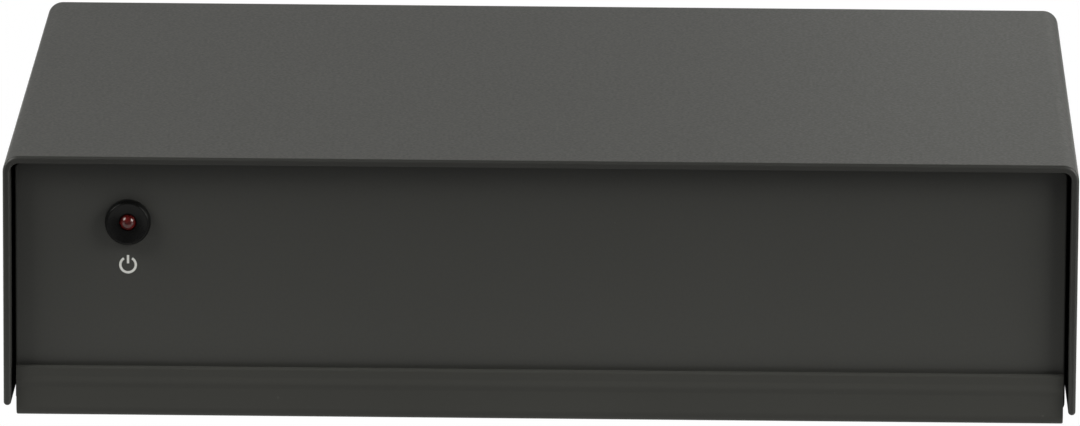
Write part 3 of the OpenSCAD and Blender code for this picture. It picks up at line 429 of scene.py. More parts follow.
class NodeBench(NodeTree):
    """A material's node tree round one Principled shader."""

    def __init__(self, name: str, **sockets: object) -> None:
        """Starts an opaque material.

        Args:
            name: the material's name.
            sockets: values for the shader's own sockets, by their names with _ for a space.
        """
        self.made = bpy.data.materials.new(name)
        super().__init__(self.made, bare=False)
        self.shader = self.tree.nodes["Principled BSDF"]
        for key, value in sockets.items():
            self.shader.inputs[key.replace("_", " ")].default_value = value

    def feed(self, socket: str, value: Socket) -> None:
        """Links a value to one of the shader's sockets."""
        self.tree.links.new(value, self.shader.inputs[socket])

    def place(self, offset: Sequence[float] = (0, 0, 0), scale: Sequence[float] = (1, 1, 1)) -> Socket:
        """The piece's own coordinates in metres, moved and stretched."""
        inputs = {"Vector": self.add("TexCoord").outputs["Object"], "Location": offset, "Scale": scale}
        return self.add("Mapping", inputs).outputs["Vector"]

    def noise(self, size: float, detail: float, where: Socket | None = None) -> Socket:
        """Smooth noise around 0.5, by the metres from one lump to the next and its octaves of detail."""
        inputs = {"Vector": where or self.place(), "Scale": 1 / size, "Detail": detail}
        return self.add("TexNoise", inputs).outputs["Fac"]

    def maths(self, operation: str, first: object, second: object = 0.0) -> Socket:
        """The result of one Math node."""
        return self.add("Math", {0: first, 1: second}, operation=operation).outputs[0]

    def between(self, share: Socket, first: Colour | Socket, second: Colour | Socket) -> Socket:
        """A colour between two.

        Args:
            share: how much of the second one, from 0 to 1.
            first: the colour at 0.
            second: the colour at 1.

        Returns:
            The mixed colour.
        """
        ends = [end if isinstance(end, Socket) else (*end, 1) for end in (first, second)]
        mix = self.add("Mix", {0: share, **dict(zip(MIX_COLOURS, ends))}, data_type="RGBA")
        return mix.outputs[MIX_RESULT]

    def stretched(self, noise: Socket, low: float, high: float, span: float = NOISE_SPAN) -> Socket:
        """A noise brought from as much as a span below and above 0.5 to a range of values, and held in it."""
        reach = {"From Min": 0.5 - span, "From Max": 0.5 + span, "To Min": low, "To Max": high}
        return self.add("MapRange", {"Value": noise, **reach}).outputs["Result"]

    def bump(self, height: Socket, relief: float) -> None:
        """Bumps the surface by a height from 0 to 1, where 1 measures the relief in metres."""
        inputs = {"Height": height, "Distance": relief, "Strength": 1.0}
        self.feed("Normal", self.add("Bump", inputs).outputs["Normal"])


# ---------------------------------------------------------------- finishes


def toned(colour: Colour, share: float) -> Colour:
    """A colour times a share."""
    return (colour[0] * share, colour[1] * share, colour[2] * share)


@dataclass(frozen=True)
class Finish(ABC):
    """A surface that knows how to make its material."""

    name: str
    colour: Colour

    def material(self) -> Material:
        """The material, made once and shared."""
        return bpy.data.materials.get(self.name) or self.make()

    @abstractmethod
    def make(self) -> Material:
        """Builds the node tree."""


@dataclass(frozen=True)
class Grained(Finish):
    """A surface whose colour drifts a little, with one grain in its gloss and its relief."""

    roughness: float = 0.42
    swing: float = 0.05
    specular: float = 0.5
    metallic: float = 0.0
    grain: float = 0.25 * MM
    octaves: int = 2
    draw: tuple[float, float, float] = (1, 1, 1)  # less than 1 draws the grain out along that axis
    span: float = NOISE_SPAN
    relief: float = 0.002 * MM
    drift: float = 6 * MM
    tones: tuple[float, float] = (0.92, 1.08)  # of the colour

    def make(self) -> Material:
        """Builds the node tree.

        Returns:
            The material.
        """
        bench = NodeBench(self.name, Specular_IOR_Level=self.specular, Metallic=self.metallic)
        grain = bench.noise(self.grain, self.octaves, bench.place(scale=self.draw))
        dark, light = (toned(self.colour, tone) for tone in self.tones)
        colour = bench.between(bench.noise(self.drift, self.octaves), dark, light)
        bench.feed("Base Color", self.dusted(bench, colour))
        bench.feed("Roughness", bench.stretched(grain, *self.gloss_range(), self.span))
        bench.bump(grain, self.relief)
        return bench.made

    def dusted(self, bench: NodeBench, colour: Socket) -> Socket:
        """The colour with whatever lies on it."""
        return colour

    def gloss_range(self) -> tuple[float, float]:
        """The least and the greatest roughness."""
        return self.roughness - self.swing, self.roughness + self.swing


@dataclass(frozen=True)
class MouldedPlastic(Grained):
    """Injection-moulded plastic with a faint spark-eroded grain."""


@dataclass(frozen=True)
class PowderCoat(Grained):
    """Matt powder coat on steel: a fine pebbled skin, faintly cloudy, with a few pale specks of dust."""

    swing: float = 0.06
    grain: float = 0.55 * MM
    octaves: int = 3
    relief: float = 0.0025 * MM
    drift: float = 38 * MM
    tones: tuple[float, float] = (0.93, 1.07)
    speck_spacing: float = 7 * MM
    speck_reach: float = 0.035
    speck_choice: float = 0.62
    speck_cover: float = 0.5
    speck_colour: Colour = (0.09, 0.09, 0.085)

    def dusted(self, bench: NodeBench, colour: Socket) -> Socket:
        """The colour with specks in some of the cells of a pattern.

        Args:
            bench: the material's node tree.
            colour: the coat's colour.

        Returns:
            The colour with the specks over it.
        """
        cells = bench.add("TexVoronoi", {"Vector": bench.place(), "Scale": 1 / self.speck_spacing})
        dots = bench.maths("LESS_THAN", cells.outputs["Distance"], self.speck_reach)
        chosen = bench.maths("GREATER_THAN", cells.outputs["Color"], self.speck_choice)
        specks = bench.maths("MULTIPLY", bench.maths("MULTIPLY", dots, chosen), self.speck_cover)
        return bench.between(specks, colour, self.speck_colour)


@dataclass(frozen=True)
class Metal(Grained):
    """Bare or plated metal, with fine marks drawn out along one direction."""

    metallic: float = 1.0
    grain: float = 0.3 * MM
    octaves: int = 3
    span: float = 0.25
    relief: float = 0.001 * MM
    drift: float = 4 * MM
    tones: tuple[float, float] = (0.86, 1.06)
    shares: tuple[float, float] = (0.7, 1.4)  # of the roughness

    def gloss_range(self) -> tuple[float, float]:
        """The roughness of the brightest and of the dullest marks."""
        return self.roughness * self.shares[0], self.roughness * self.shares[1]


@dataclass(frozen=True)
class Lens(Finish):
    """Tinted clear plastic of an unlit lamp: deep red, cloudy inside and glossy outside."""

    depth_colour: Colour
    roughness: tuple[float, float] = (0.17, 0.25)
    index: float = 1.53
    coat: float = 0.5
    coat_gloss: float = 0.14
    haze: float = 0.9 * MM
    haze_span: float = 0.15
    ripple: float = 0.5 * MM
    relief: float = 0.003 * MM

    def make(self) -> Material:
        """Builds the node tree.

        Returns:
            The material.
        """
        bench = NodeBench(self.name, IOR=self.index, Coat_Weight=self.coat, Coat_Roughness=self.coat_gloss)
        haze = bench.noise(self.haze, 2)
        depth = bench.stretched(haze, 0, 1, self.haze_span)
        bench.feed("Base Color", bench.between(depth, self.depth_colour, self.colour))
        bench.feed("Roughness", bench.stretched(haze, *self.roughness))
        bench.bump(bench.noise(self.ripple, 1), self.relief)
        return bench.made


@dataclass(frozen=True)
class SolderMask(Finish):
    """A circuit board's green mask, slightly raised over its copper tracks."""

    track_colour: Colour
    track_pitch: float = 3.2 * MM
    track_width: float = 0.16
    track_reach: float = 4.0
    patch: float = 14 * MM
    patch_share: float = 0.48
    relief: float = 0.02 * MM

    def make(self) -> Material:
        """Builds the node tree: the mortar of a brick pattern, kept in patches, is the tracks.

        Returns:
            The material.
        """
        bench = NodeBench(self.name, Roughness=0.3)
        black, white = (0, 0, 0, 1), (1, 1, 1, 1)
        inputs = {
            "Vector": bench.place(), "Scale": 1 / self.track_pitch, "Color1": black, "Color2": black,
            "Mortar": white, "Mortar Size": self.track_width, "Mortar Smooth": 0.1,
            "Brick Width": self.track_reach, "Row Height": 1.0,
        }
        bricks = bench.add("TexBrick", inputs).outputs["Color"]
        kept = bench.maths("GREATER_THAN", bench.noise(self.patch, 1), self.patch_share)
        tracks = bench.maths("MULTIPLY", bricks, kept)
        bench.feed("Base Color", bench.between(tracks, self.colour, self.track_colour))
        bench.bump(tracks, self.relief)
        return bench.made


@dataclass(frozen=True)
class BandedBody(Finish):
    """A lacquered resistor body with coloured bands out from its middle. It lies along Y, in rows."""

    first_row: float
    row_pitch: float
    bands: tuple[Colour, ...] = ((0.25, 0.09, 0.03), (0.01, 0.01, 0.01), (0.65, 0.2, 0.02), (0.45, 0.3, 0.06))
    band_step: float = 0.8625 * MM
    band_width: float = 0.5 * MM
    ripple: float = 0.6 * MM
    relief: float = 0.01 * MM

    def make(self) -> Material:
        """Builds the node tree.

        Returns:
            The material.
        """
        bench = NodeBench(self.name, Roughness=0.35)
        along = bench.add("SeparateXYZ", {0: bench.place(offset=(0, -self.first_row, 0))}).outputs["Y"]
        from_row = bench.maths("PINGPONG", along, self.row_pitch / 2)
        colour: Colour | Socket = self.colour
        for i, band in enumerate(self.bands):
            away = bench.maths("ABSOLUTE", bench.maths("SUBTRACT", from_row, i * self.band_step))
            colour = bench.between(bench.maths("LESS_THAN", away, self.band_width / 2), colour, band)
        bench.feed("Base Color", colour)
        bench.bump(bench.noise(self.ripple, 2), self.relief)
        return bench.made


WARM_GREY: Colour = (1.0, 1.0, 0.93)
# One powder coat in three tones: the cover's is darker as painted shade, and the panel's and the tray's are
# lighter as painted light, each set for how brightly that part is lit.
SHADED_COVER_COAT = PowderCoat("shaded_cover_coat", toned(WARM_GREY, 0.029), 0.5)
LIT_PANEL_COAT = PowderCoat("lit_panel_coat", toned(WARM_GREY, 0.045), 0.56)
LIT_TRAY_COAT = PowderCoat("lit_tray_coat", toned(WARM_GREY, 0.052), 0.54, specular=0.15)
BEZEL_PLASTIC = MouldedPlastic("bezel_plastic", (0.004, 0.004, 0.004), 0.3, specular=0.22)
SOCKET_PLASTIC = MouldedPlastic("socket_plastic", (0.012, 0.012, 0.012), 0.38)
INLET_PLASTIC = MouldedPlastic("inlet_plastic", (0.010, 0.010, 0.011), 0.33)
KNOB_PLASTIC = MouldedPlastic("knob_plastic", (0.009, 0.009, 0.009), 0.45)
CHIP_PLASTIC = MouldedPlastic("chip_plastic", (0.014, 0.014, 0.015), 0.5)
WHITE_INSERT = MouldedPlastic("white_insert", (0.78, 0.76, 0.70), 0.35)
RED_INSERT = MouldedPlastic("red_insert", (0.42, 0.012, 0.012), 0.33)
CONNECTOR_PLASTIC = MouldedPlastic("connector_plastic", (0.80, 0.77, 0.66), 0.4)
PHENOLIC = MouldedPlastic("phenolic_board", (0.16, 0.075, 0.035), 0.5, grain=0.5 * MM)
FILM_LACQUER = MouldedPlastic("film_lacquer", (0.36, 0.035, 0.018), 0.3, grain=0.8 * MM)
CAN_SLEEVE = MouldedPlastic("can_sleeve", (0.012, 0.018, 0.045), 0.3)
CAN_STRIPE = MouldedPlastic("can_stripe", (0.55, 0.57, 0.62), 0.35)
RUBBER = MouldedPlastic("foot_rubber", (0.014, 0.014, 0.014), 0.72, specular=0.3, relief=0.006 * MM)
RED_WIRE = MouldedPlastic("red_wire", (0.32, 0.018, 0.014), 0.4)
GREEN_WIRE = MouldedPlastic("green_wire", (0.02, 0.16, 0.035), 0.4)
BLACK_WIRE = MouldedPlastic("black_wire", (0.012, 0.012, 0.012), 0.4)
WHITE_INK = MouldedPlastic("white_ink", (0.78, 0.78, 0.76), 0.5, grain=0.12 * MM)
NICKEL = Metal("nickel_plate", (0.70, 0.68, 0.64), 0.2, draw=(1, 0.2, 1))
TURNED_NICKEL = Metal("turned_nickel", (0.68, 0.66, 0.62), 0.26, draw=(0.3, 5, 0.3))
BRASS = Metal("contact_brass", (0.72, 0.53, 0.26), 0.24)
STANDOFF_BRASS = Metal("standoff_brass", (0.66, 0.50, 0.26), 0.3)
TIN = Metal("tinned_metal", (0.66, 0.66, 0.64), 0.33)
ZINC = Metal("zinc_plate", (0.60, 0.61, 0.62), 0.3)
SHEET_STEEL = Metal("switch_steel", (0.56, 0.56, 0.55), 0.3, draw=(0.2, 1, 3))
BLACK_ZINC = Metal("black_screw_plate", (0.030, 0.030, 0.032), 0.36, metallic=0.75)
SINK_ALLOY = Metal("sink_alloy", (0.40, 0.41, 0.42), 0.38, draw=(3, 1, 0.2))
CAN_ALLOY = Metal("can_alloy", (0.62, 0.62, 0.62), 0.32)
LAMP_LENS = Lens("lamp_lens", (0.13, 0.006, 0.005), (0.05, 0.003, 0.003))
BOARD_MASK = SolderMask("board_mask", (0.012, 0.075, 0.028), (0.03, 0.16, 0.06))


# ---------------------------------------------------------------- pieces that stand for a node


@dataclass(frozen=True)
class NodePiece(ABC):
    """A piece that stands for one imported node."""

    node: str
    name: str
    finish: Finish
    slot: str
    body: Body = field(default=Body.CASE, kw_only=True)

    def build(self) -> None:
        """Makes the piece and dresses it."""
        hand_over(self.make(), self.finish, self.slot, self.node, body=self.body)

    @abstractmethod
    def make(self) -> Piece:
        """Makes the bare piece."""


@dataclass(frozen=True)
class BrokenNode(NodePiece):
    """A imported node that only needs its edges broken."""

    edge: float
    segments: int = 2

    def make(self) -> Piece:
        """Copies the node and rounds its edges.

        Returns:
            The piece.
        """
        piece = merged_copy(self.node, self.name)
        round_edges(piece, self.edge, self.segments)
        return piece


@dataclass(frozen=True)
class TurnedNode(NodePiece):
    """A round piece that lies from front to back and fills its node's box, alone or side by side."""

    count: int = 1
    steps: int = 72
    crease: float = 35

    def make(self) -> Piece:
        """Turns the piece and copies it to its places.

        Returns:
            The piece, or all of them joined.
        """
        low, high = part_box(self.node)
        width = high.x - low.x if self.count == 1 else high.z - low.z
        radius = width / 2
        shape = turn_up("turned_shape", self.profile(radius, high.y - low.y), self.steps)
        self.rework(shape, radius)
        shade(shape, self.crease)
        across = spread(low.x + radius, high.x - radius, self.count)
        spots = [Axis.BACK.placed(Vector((x, low.y, (low.z + high.z) / 2))) for x in across]
        return copy_at(shape, self.name, spots)

    @abstractmethod
    def profile(self, radius: float, length: float) -> Profile:
        """Radius and height of each ring, by the radius and the length of the piece, from its front end."""

    def rework(self, shape: Piece, radius: float) -> None:
        """Changes the turned shape before it is shaded, where a piece needs that."""


# ---------------------------------------------------------------- case


@dataclass(frozen=True)
class Cover(NodePiece):
    """The inverted-U cover: one sheet with two long bends and painted cut edges."""

    sheet: float = 1.3 * MM
    bend: float = 2.8 * MM
    bend_steps: int = 16
    end_share: float = 0.49  # of the sheet's thickness
    end_steps: int = 8
    cut_edge: float = 0.55 * MM
    cut_steps: int = 6
    cut_angle: float = 50
    under_share: float = 0.35
    screw_hole: float = 1.7 * MM
    hole_front: float = 42 * MM
    hole_rear: float = 20 * MM
    hole_rise: float = 8.5 * MM

    def make(self) -> Piece:
        """Folds the sheet, drills it and rounds its cut edges.

        Returns:
            The cover.
        """
        low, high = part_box(self.node)
        shell = block(self.name, low, high)
        with editing(shell, Pick.FACES):
            select(shell, Pick.FACES, lambda face: face.normal.z < -FACING or abs(face.normal.y) > FACING)
            bpy.ops.mesh.delete(type="FACE")
        with editing(shell, Pick.EDGES):
            select(shell, Pick.EDGES, lambda edge: middle(edge).z > high.z - NEAR and runs_deep(edge))
            bpy.ops.mesh.bevel(offset=self.bend, segments=self.bend_steps, affect="EDGES")
        apply_modifier(shell, "SOLIDIFY", thickness=self.sheet, offset=-1, use_even_offset=True)
        with editing(shell, Pick.EDGES):
            select(shell, Pick.EDGES, lambda edge: middle(edge).z < low.z + NEAR and runs_deep(edge))
            bpy.ops.mesh.bevel(offset=self.sheet * self.end_share, segments=self.end_steps, affect="EDGES")
        self.drill(shell, low, high)
        self.break_cut_edges(shell, high)
        return shell

    def drill(self, shell: Piece, low: Vector, high: Vector) -> None:
        """Drills both flanges for the side screws.

        Args:
            shell: the folded sheet.
            low: the cover's lowest corner.
            high: the cover's highest corner.
        """
        tray_low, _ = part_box("base_tray")
        reach = high.x + self.sheet
        profile = [(0, -reach), (self.screw_hole, -reach), (self.screw_hole, reach), (0, reach)]
        for y in (low.y + self.hole_front, high.y - self.hole_rear):
            drill = turn_up("drill", profile, 32)
            drill.data.transform(Axis.RIGHT.placed(Vector((0, y, tray_low.z + self.hole_rise))))
            carve(shell, drill)

    def break_cut_edges(self, shell: Piece, corner: Vector) -> None:
        """Rounds the sheet's cut edges, each by its own share of the full width.

        Args:
            shell: the drilled sheet.
            corner: the cover's highest corner.
        """
        with editing(shell, Pick.EDGES):
            mesh = bmesh.from_edit_mesh(shell.data)
            share = mesh.edges.layers.float.new("bevel_weight_edge")
            for edge in mesh.edges:
                if edge.calc_face_angle(0) > math.radians(self.cut_angle):
                    edge[share] = self.edge_share(middle(edge), corner)
            bmesh.update_edit_mesh(shell.data)
        apply_modifier(
            shell, "BEVEL", width=self.cut_edge, segments=self.cut_steps, limit_method="WEIGHT",
            use_clamp_overlap=False,
        )
        shade(shell)

    def edge_share(self, spot: Vector, corner: Vector) -> float:
        """How much of the full rounding a cut edge gets.

        Args:
            spot: the edge's middle.
            corner: the cover's highest corner.

        Returns:
            1 outside and on the flanges, less along the underside of the top, and in between round the bends.
        """
        across = max(abs(spot.x) - corner.x + self.bend, 0)
        up = max(spot.z - corner.z + self.bend, 0)
        reach = math.hypot(across, up)
        if reach > self.bend - self.sheet / 2:
            return 1
        return 1 - (1 - self.under_share) * up / max(reach, POLE)


@dataclass(frozen=True)
class FrontPanel(NodePiece):
    """The front panel, with its cut edges broken and its face rounded where the coat is thick."""

    cut_edge: float = 0.16 * MM
    face_edge: float = 0.3 * MM
    face_steps: int = 4
    corner: float = 1.1 * MM

    def make(self) -> Piece:
        """Rounds the face's sides and top, and then all that is still sharp.

        Returns:
            The panel.
        """
        low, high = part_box(self.node)

        def on_outline(edge: Edge) -> bool:
            """Whether an edge bounds the face at its sides or its top.

            Args:
                edge: an edge of the panel.

            Returns:
                True at the sides and at the top.
            """
            spot = middle(edge)
            outer = spot.z > high.z - self.corner or abs(spot.x) > high.x - NEAR
            return outer and all(vert.co.y < low.y + FLUSH for vert in edge.verts)

        plate = merged_copy(self.node, self.name)
        with editing(plate, Pick.EDGES):
            select(plate, Pick.EDGES, on_outline)
            bpy.ops.mesh.bevel(offset=self.face_edge, segments=self.face_steps, affect="EDGES")
        round_edges(plate, self.cut_edge)
        return plate


@dataclass(frozen=True)
class PowerSymbol:
    """The printed symbol under the lamp: an open ring with a bar in its gap, in white ink."""

    drop: float = 7.75 * MM
    ring: float = 1.35 * MM
    ring_steps: int = 40
    stroke: float = 0.42 * MM
    gap_angle: float = 64
    bar_top: float = 1.75 * MM
    bar_low: float = 0.25 * MM
    ink: float = 0.03 * MM
    seed: float = 0.02 * MM

    def build(self) -> None:
        """Spins the ring from a seed, adds the bar and prints both on the panel."""
        panel_low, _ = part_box("front_panel")
        low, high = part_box("lamp_bezel")
        centre = Vector(((low.x + high.x) / 2, panel_low.y, (low.z + high.z) / 2 - self.drop))
        half = Vector((self.stroke / 2, 0, 0))
        out, ink = Vector((self.ring, 0, 0)), Vector((0, -self.ink, 0))
        seed = Vector((0, 0, self.seed))
        ring = block("power_symbol", centre + out - half + ink, centre + out + half + seed)
        with editing(ring, Pick.FACES):
            select(ring, Pick.FACES, lambda face: face.normal.z > FACING)
            sweep = math.radians(360 - self.gap_angle)
            bpy.ops.mesh.spin(steps=self.ring_steps, angle=sweep, center=centre, axis=(0, 1, 0))
            weld()
        start = math.radians(90 + self.gap_angle / 2)
        turn = Matrix.Translation(centre) @ Matrix.Rotation(-start, 4, "Y") @ Matrix.Translation(-centre)
        ring.data.transform(turn)
        bottom, top = Vector((0, 0, self.bar_low)), Vector((0, 0, self.bar_top))
        only(block("power_bar", centre - half + ink + bottom, centre + half + top), ring)
        bpy.ops.object.join()
        hand_over(ring, WHITE_INK, "coated_steel")


@dataclass(frozen=True)
class Feet(NodePiece):
    """The stick-on rubber feet, with a rounded tread and a shallow moulding dimple."""

    radius: float = 5.5 * MM
    tread_round: float = 0.9 * MM
    dimple: Profile = ((0, 0.5 * MM), (1.2 * MM, 0.5 * MM), (1.6 * MM, 0))

    def make(self) -> Piece:
        """Turns one foot and copies it to the four corners.

        Returns:
            All four feet.
        """
        low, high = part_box(self.node)
        tray_low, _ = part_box("base_tray")
        radius, tread = self.radius, self.tread_round
        rim = arc((radius - tread, tread), tread, -90, 0, 8)
        foot = turn_up("foot", [*self.dimple, *rim, (radius, tray_low.z), (0, tray_low.z)], 64)
        shade(foot)
        spots = [
            Matrix.Translation((x, y, 0))
            for x in (low.x + radius, high.x - radius)
            for y in (low.y + radius, high.y - radius)
        ]
        return copy_at(foot, self.name, spots)


CASE_PIECES = (
    Cover("top_cover", "cover_shell", SHADED_COVER_COAT, "coated_steel"),
    FrontPanel("front_panel", "front_plate", LIT_PANEL_COAT, "coated_steel"),
    BrokenNode("rear_panel", "rear_plate", LIT_PANEL_COAT, "coated_steel", 0.16 * MM),
    BrokenNode("base_tray", "tray_sheet", LIT_TRAY_COAT, "coated_steel", 0.16 * MM),
    PowerSymbol(),
    Feet("rubber_feet", "feet", RUBBER, "rubber"),
)


# ---------------------------------------------------------------- lamp


@dataclass(frozen=True)
class LampBezel(TurnedNode):
    """The lamp's black bezel, with a bevelled rim, a hollow face and a barrel through the panel."""

    led: float = 1.52 * MM
    led_flange: float = 1.92 * MM
    led_flange_depth: float = 1.0 * MM
    slope: float = 60
    slope_width: float = 0.5 * MM
    crest: float = 0.2 * MM
    crest_start: float = -112
    dish: float = 0.9 * MM
    dish_floor: float = 0.2 * MM
    rim: Profile = ((-0.04 * MM, -0.07 * MM), (0, 0.04 * MM))
    back: Profile = ((0, -0.05 * MM), (-0.05 * MM, 0))
    barrel: float = 3.1 * MM
    barrel_end: Profile = ((0, -0.3 * MM), (-0.3 * MM, 0))

    def profile(self, radius: float, length: float) -> Profile:
        """The outline from the dish's floor over the rim to the barrel and back through the bore.

        Args:
            radius: the rim's radius.
            length: from the rim's face to the barrel's end.

        Returns:
            Radius and height of each ring.
        """
        low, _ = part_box(self.node)
        panel_low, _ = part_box("front_panel")
        _, led_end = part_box("lamp_led")
        proud = panel_low.y - low.y
        flange_from = led_end.y - self.led_flange_depth - low.y
        crest_at = (radius - self.slope_width, self.crest)
        crest = arc(crest_at, self.crest, self.crest_start, self.slope - 90, 10)
        foot = crest[-1][1] + (radius - crest[-1][0]) * math.tan(math.radians(self.slope))
        return [
            (self.led, self.dish), (self.led + self.dish_floor, self.dish), *crest,
            *outline((radius, foot), self.rim), *outline((radius, proud), self.back), (self.barrel, proud),
            *outline((self.barrel, length), self.barrel_end), (self.led_flange, length),
            (self.led_flange, flange_from), (self.led, flange_from), (self.led, self.dish),
        ]


@dataclass(frozen=True)
class LampLed(TurnedNode):
    """The red LED: a domed lens on a flange."""

    lens: float = 1.5 * MM
    flange: float = 1.9 * MM
    flange_depth: float = 1.0 * MM

    def profile(self, radius: float, length: float) -> Profile:
        """The outline from the tip of the dome.

        Args:
            radius: half of the node's width.
            length: from the tip to the back of the flange.

        Returns:
            Radius and height of each ring.
        """
        shoulder = length - self.flange_depth
        dome = arc((0, self.lens), self.lens, -90, 0, 20)
        return [*dome, (self.lens, shoulder), (self.flange, shoulder), (self.flange, length), (0, length)]


LAMP_PIECES = (
    LampBezel("lamp_bezel", "bezel", BEZEL_PLASTIC, BLACK_PLASTIC, steps=96),
    LampLed("lamp_led", "led", LAMP_LENS, "lamp_red", steps=96),
    BrokenNode("lamp_ring", "retaining_ring", BEZEL_PLASTIC, BLACK_PLASTIC, 0.2 * MM),
)


# ---------------------------------------------------------------- screws


@dataclass(frozen=True)
class ScrewSize:
    """A pan-head screw with a cross recess. Its crown's radius is the head's diameter."""

    thread: float
    head: float
    head_rise: float
    pitch: float
    thread_gap: float = 0.06 * MM
    thread_depth: float = 0.35  # of the pitch
    land: float = 0.12  # of the pitch
    crown_share: float = 0.86  # of the arc from the head's middle to its rim
    rim_round: float = 0.25  # of the head's rise
    rim_rise: float = 0.45  # of the head's rise
    seat_edge: float = 0.1 * MM
    run_out: float = 0.5 * MM
    tip: float = 0.35 * MM
    tip_taper: float = 0.2 * MM
    wing_half: tuple[float, float] = (0.29, 0.065)  # of the head's width
    wing_floor: float = 0.25  # of the head's rise
    wing_taper: tuple[float, float] = (0.45, 0.7)

    def make(self, length: float) -> Piece:
        """Models one screw whose head sits on z = 0 and whose shank points down.

        Args:
            length: length under the head.

        Returns:
            The screw at the origin.
        """
        crest = self.thread / 2 - self.thread_gap
        root = crest - self.thread_depth * self.pitch
        radius = self.head / 2
        crown_end = 90 - math.degrees(math.asin(radius / self.head)) * self.crown_share
        rim = self.rim_round * self.head_rise
        turns = int((length - self.run_out) / self.pitch)
        profile = [
            *arc((0, self.head_rise - self.head), self.head, 90, crown_end, 8),
            *arc((radius - rim, self.rim_rise * self.head_rise), rim, 60, 0, 4),
            (radius, self.seat_edge), (radius - self.seat_edge, 0), (crest, 0),
            *thread_points(crest, root, 0, -self.pitch, turns, self.land),
            (crest, -length + self.tip), (root - self.tip_taper, -length), (0, -length),
        ]
        screw = turn_up("screw", profile, 32)
        for turn in (0, math.pi / 2):
            carve(screw, self.recess_wing(turn))
        shade(screw, 30)
        return screw

    def recess_wing(self, turn: float) -> Piece:
        """One wing of the cross recess, narrower towards its floor.

        Args:
            turn: angle about the screw's axis.

        Returns:
            The cutter.
        """
        half = Vector((*self.wing_half, 0)) * self.head
        low, high = self.head_rise * self.wing_floor, self.head_rise + OVERCUT
        wing = block("wing", -half + Vector((0, 0, low)), half + Vector((0, 0, high)))
        with editing(wing, Pick.FACES):
            select(wing, Pick.FACES, lambda face: face.normal.z < -FACING)
            bpy.ops.transform.resize(value=(*self.wing_taper, 1), center_override=(0, 0, low))
        wing.data.transform(Matrix.Rotation(turn, 4, "Z"))
        return wing


CASE_SCREW = ScrewSize(thread=3 * MM, head=5.6 * MM, head_rise=1.3 * MM, pitch=0.5 * MM)
SMALL_SCREW = ScrewSize(thread=2.5 * MM, head=4.8 * MM, head_rise=1.5 * MM, pitch=0.45 * MM)


@dataclass(frozen=True)
class ScrewRow(NodePiece):
    """Screws of one node that point one way, in rows that fill the node's box."""

    size: ScrewSize
    axis: Axis
    columns: int
    rows: int = 1

    def make(self) -> Piece:
        """Models one screw and copies it to each place.

        Returns:
            All screws of the node.
        """
        low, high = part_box(self.node)
        out = Vector(self.axis.placed(Vector()) @ Vector((0, 0, 1)))
        along = max(range(3), key=lambda i: abs(out[i]))
        length = high[along] - low[along] - self.size.head_rise
        seat = (high[along] if out[along] > 0 else low[along]) - out[along] * self.size.head_rise
        radius = self.size.head / 2
        across, upwards = [i for i in range(3) if i != along]
        spots = []
        for a in spread(low[across] + radius, high[across] - radius, self.columns):
            for b in spread(low[upwards] + radius, high[upwards] - radius, self.rows):
                place = Vector()
                place[along], place[across], place[upwards] = seat, a, b
                spots.append(self.axis.placed(place))
        return copy_at(self.size.make(length), self.name, spots)


@dataclass(frozen=True)
class CoverScrews(NodePiece):
    """The cover's four side screws, two in each flange."""

    size: ScrewSize
    length: float = 5 * MM

    def make(self) -> Piece:
        """Models one screw and copies it to both flanges.

        Returns:
            All four screws.
        """
        low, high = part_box(self.node)
        radius, rise = self.size.head / 2, self.size.head_rise
        spots = [
            axis.placed(Vector((x, y, (low.z + high.z) / 2)))
            for axis, x in ((Axis.RIGHT, high.x - rise), (Axis.LEFT, low.x + rise))
            for y in (low.y + radius, high.y - radius)
        ]
        return copy_at(self.size.make(self.length), self.name, spots)


BLACK = (BLACK_ZINC, "black_screws")
BRIGHT = (ZINC, "zinc_screws")
SCREWS = (
    CoverScrews("cover_screws", "side_screws", *BLACK, CASE_SCREW),
    ScrewRow("front_panel_screws", "front_floor_screws", *BLACK, CASE_SCREW, Axis.DOWN, 3),
    ScrewRow("rear_panel_screws", "rear_floor_screws", *BLACK, CASE_SCREW, Axis.DOWN, 3),
    ScrewRow("standoff_screws", "board_floor_screws", *BLACK, CASE_SCREW, Axis.DOWN, 2, 2),
    ScrewRow("board_screws", "board_top_screws", *BRIGHT, CASE_SCREW, Axis.UP, 2, 2),
    ScrewRow("socket_screws", "socket_block_screws", *BLACK, SMALL_SCREW, Axis.BACK, 2),
    ScrewRow("switch_screws", "switch_plate_screws", *BLACK, SMALL_SCREW, Axis.BACK, 2),
    ScrewRow("regulator_screws", "heat_sink_screws", *BRIGHT, SMALL_SCREW, Axis.FRONT, 2),
)


# ---------------------------------------------------------------- rear connectors


@dataclass(frozen=True)
class SocketShells(TurnedNode):
    """The plated shells of a pair of phono sockets, with a groove and a rolled mouth."""

    count: int = 2
    wall: float = 0.6 * MM
    mouth: float = 0.22 * MM
    groove_share: float = 0.32  # of the shell's length
    groove: Profile = ((0, 0), (-0.15 * MM, 0.15 * MM), (-0.15 * MM, 0.45 * MM), (0, 0.6 * MM))

    def profile(self, radius: float, length: float) -> Profile:
        """The outline from the panel over the mouth and back through the bore.

        Args:
            radius: a shell's outer radius.
            length: from the panel to the mouth.

        Returns:
            Radius and height of each ring.
        """
        bore, roll = radius - self.wall, length - self.mouth
        return [
            (bore, 0), (radius, 0), *outline((radius, length * self.groove_share), self.groove),
            *arc((radius - self.mouth, roll), self.mouth, 0, 90, 5),
            *arc((bore + self.mouth, roll), self.mouth, 90, 180, 5), (bore, 0),
        ]


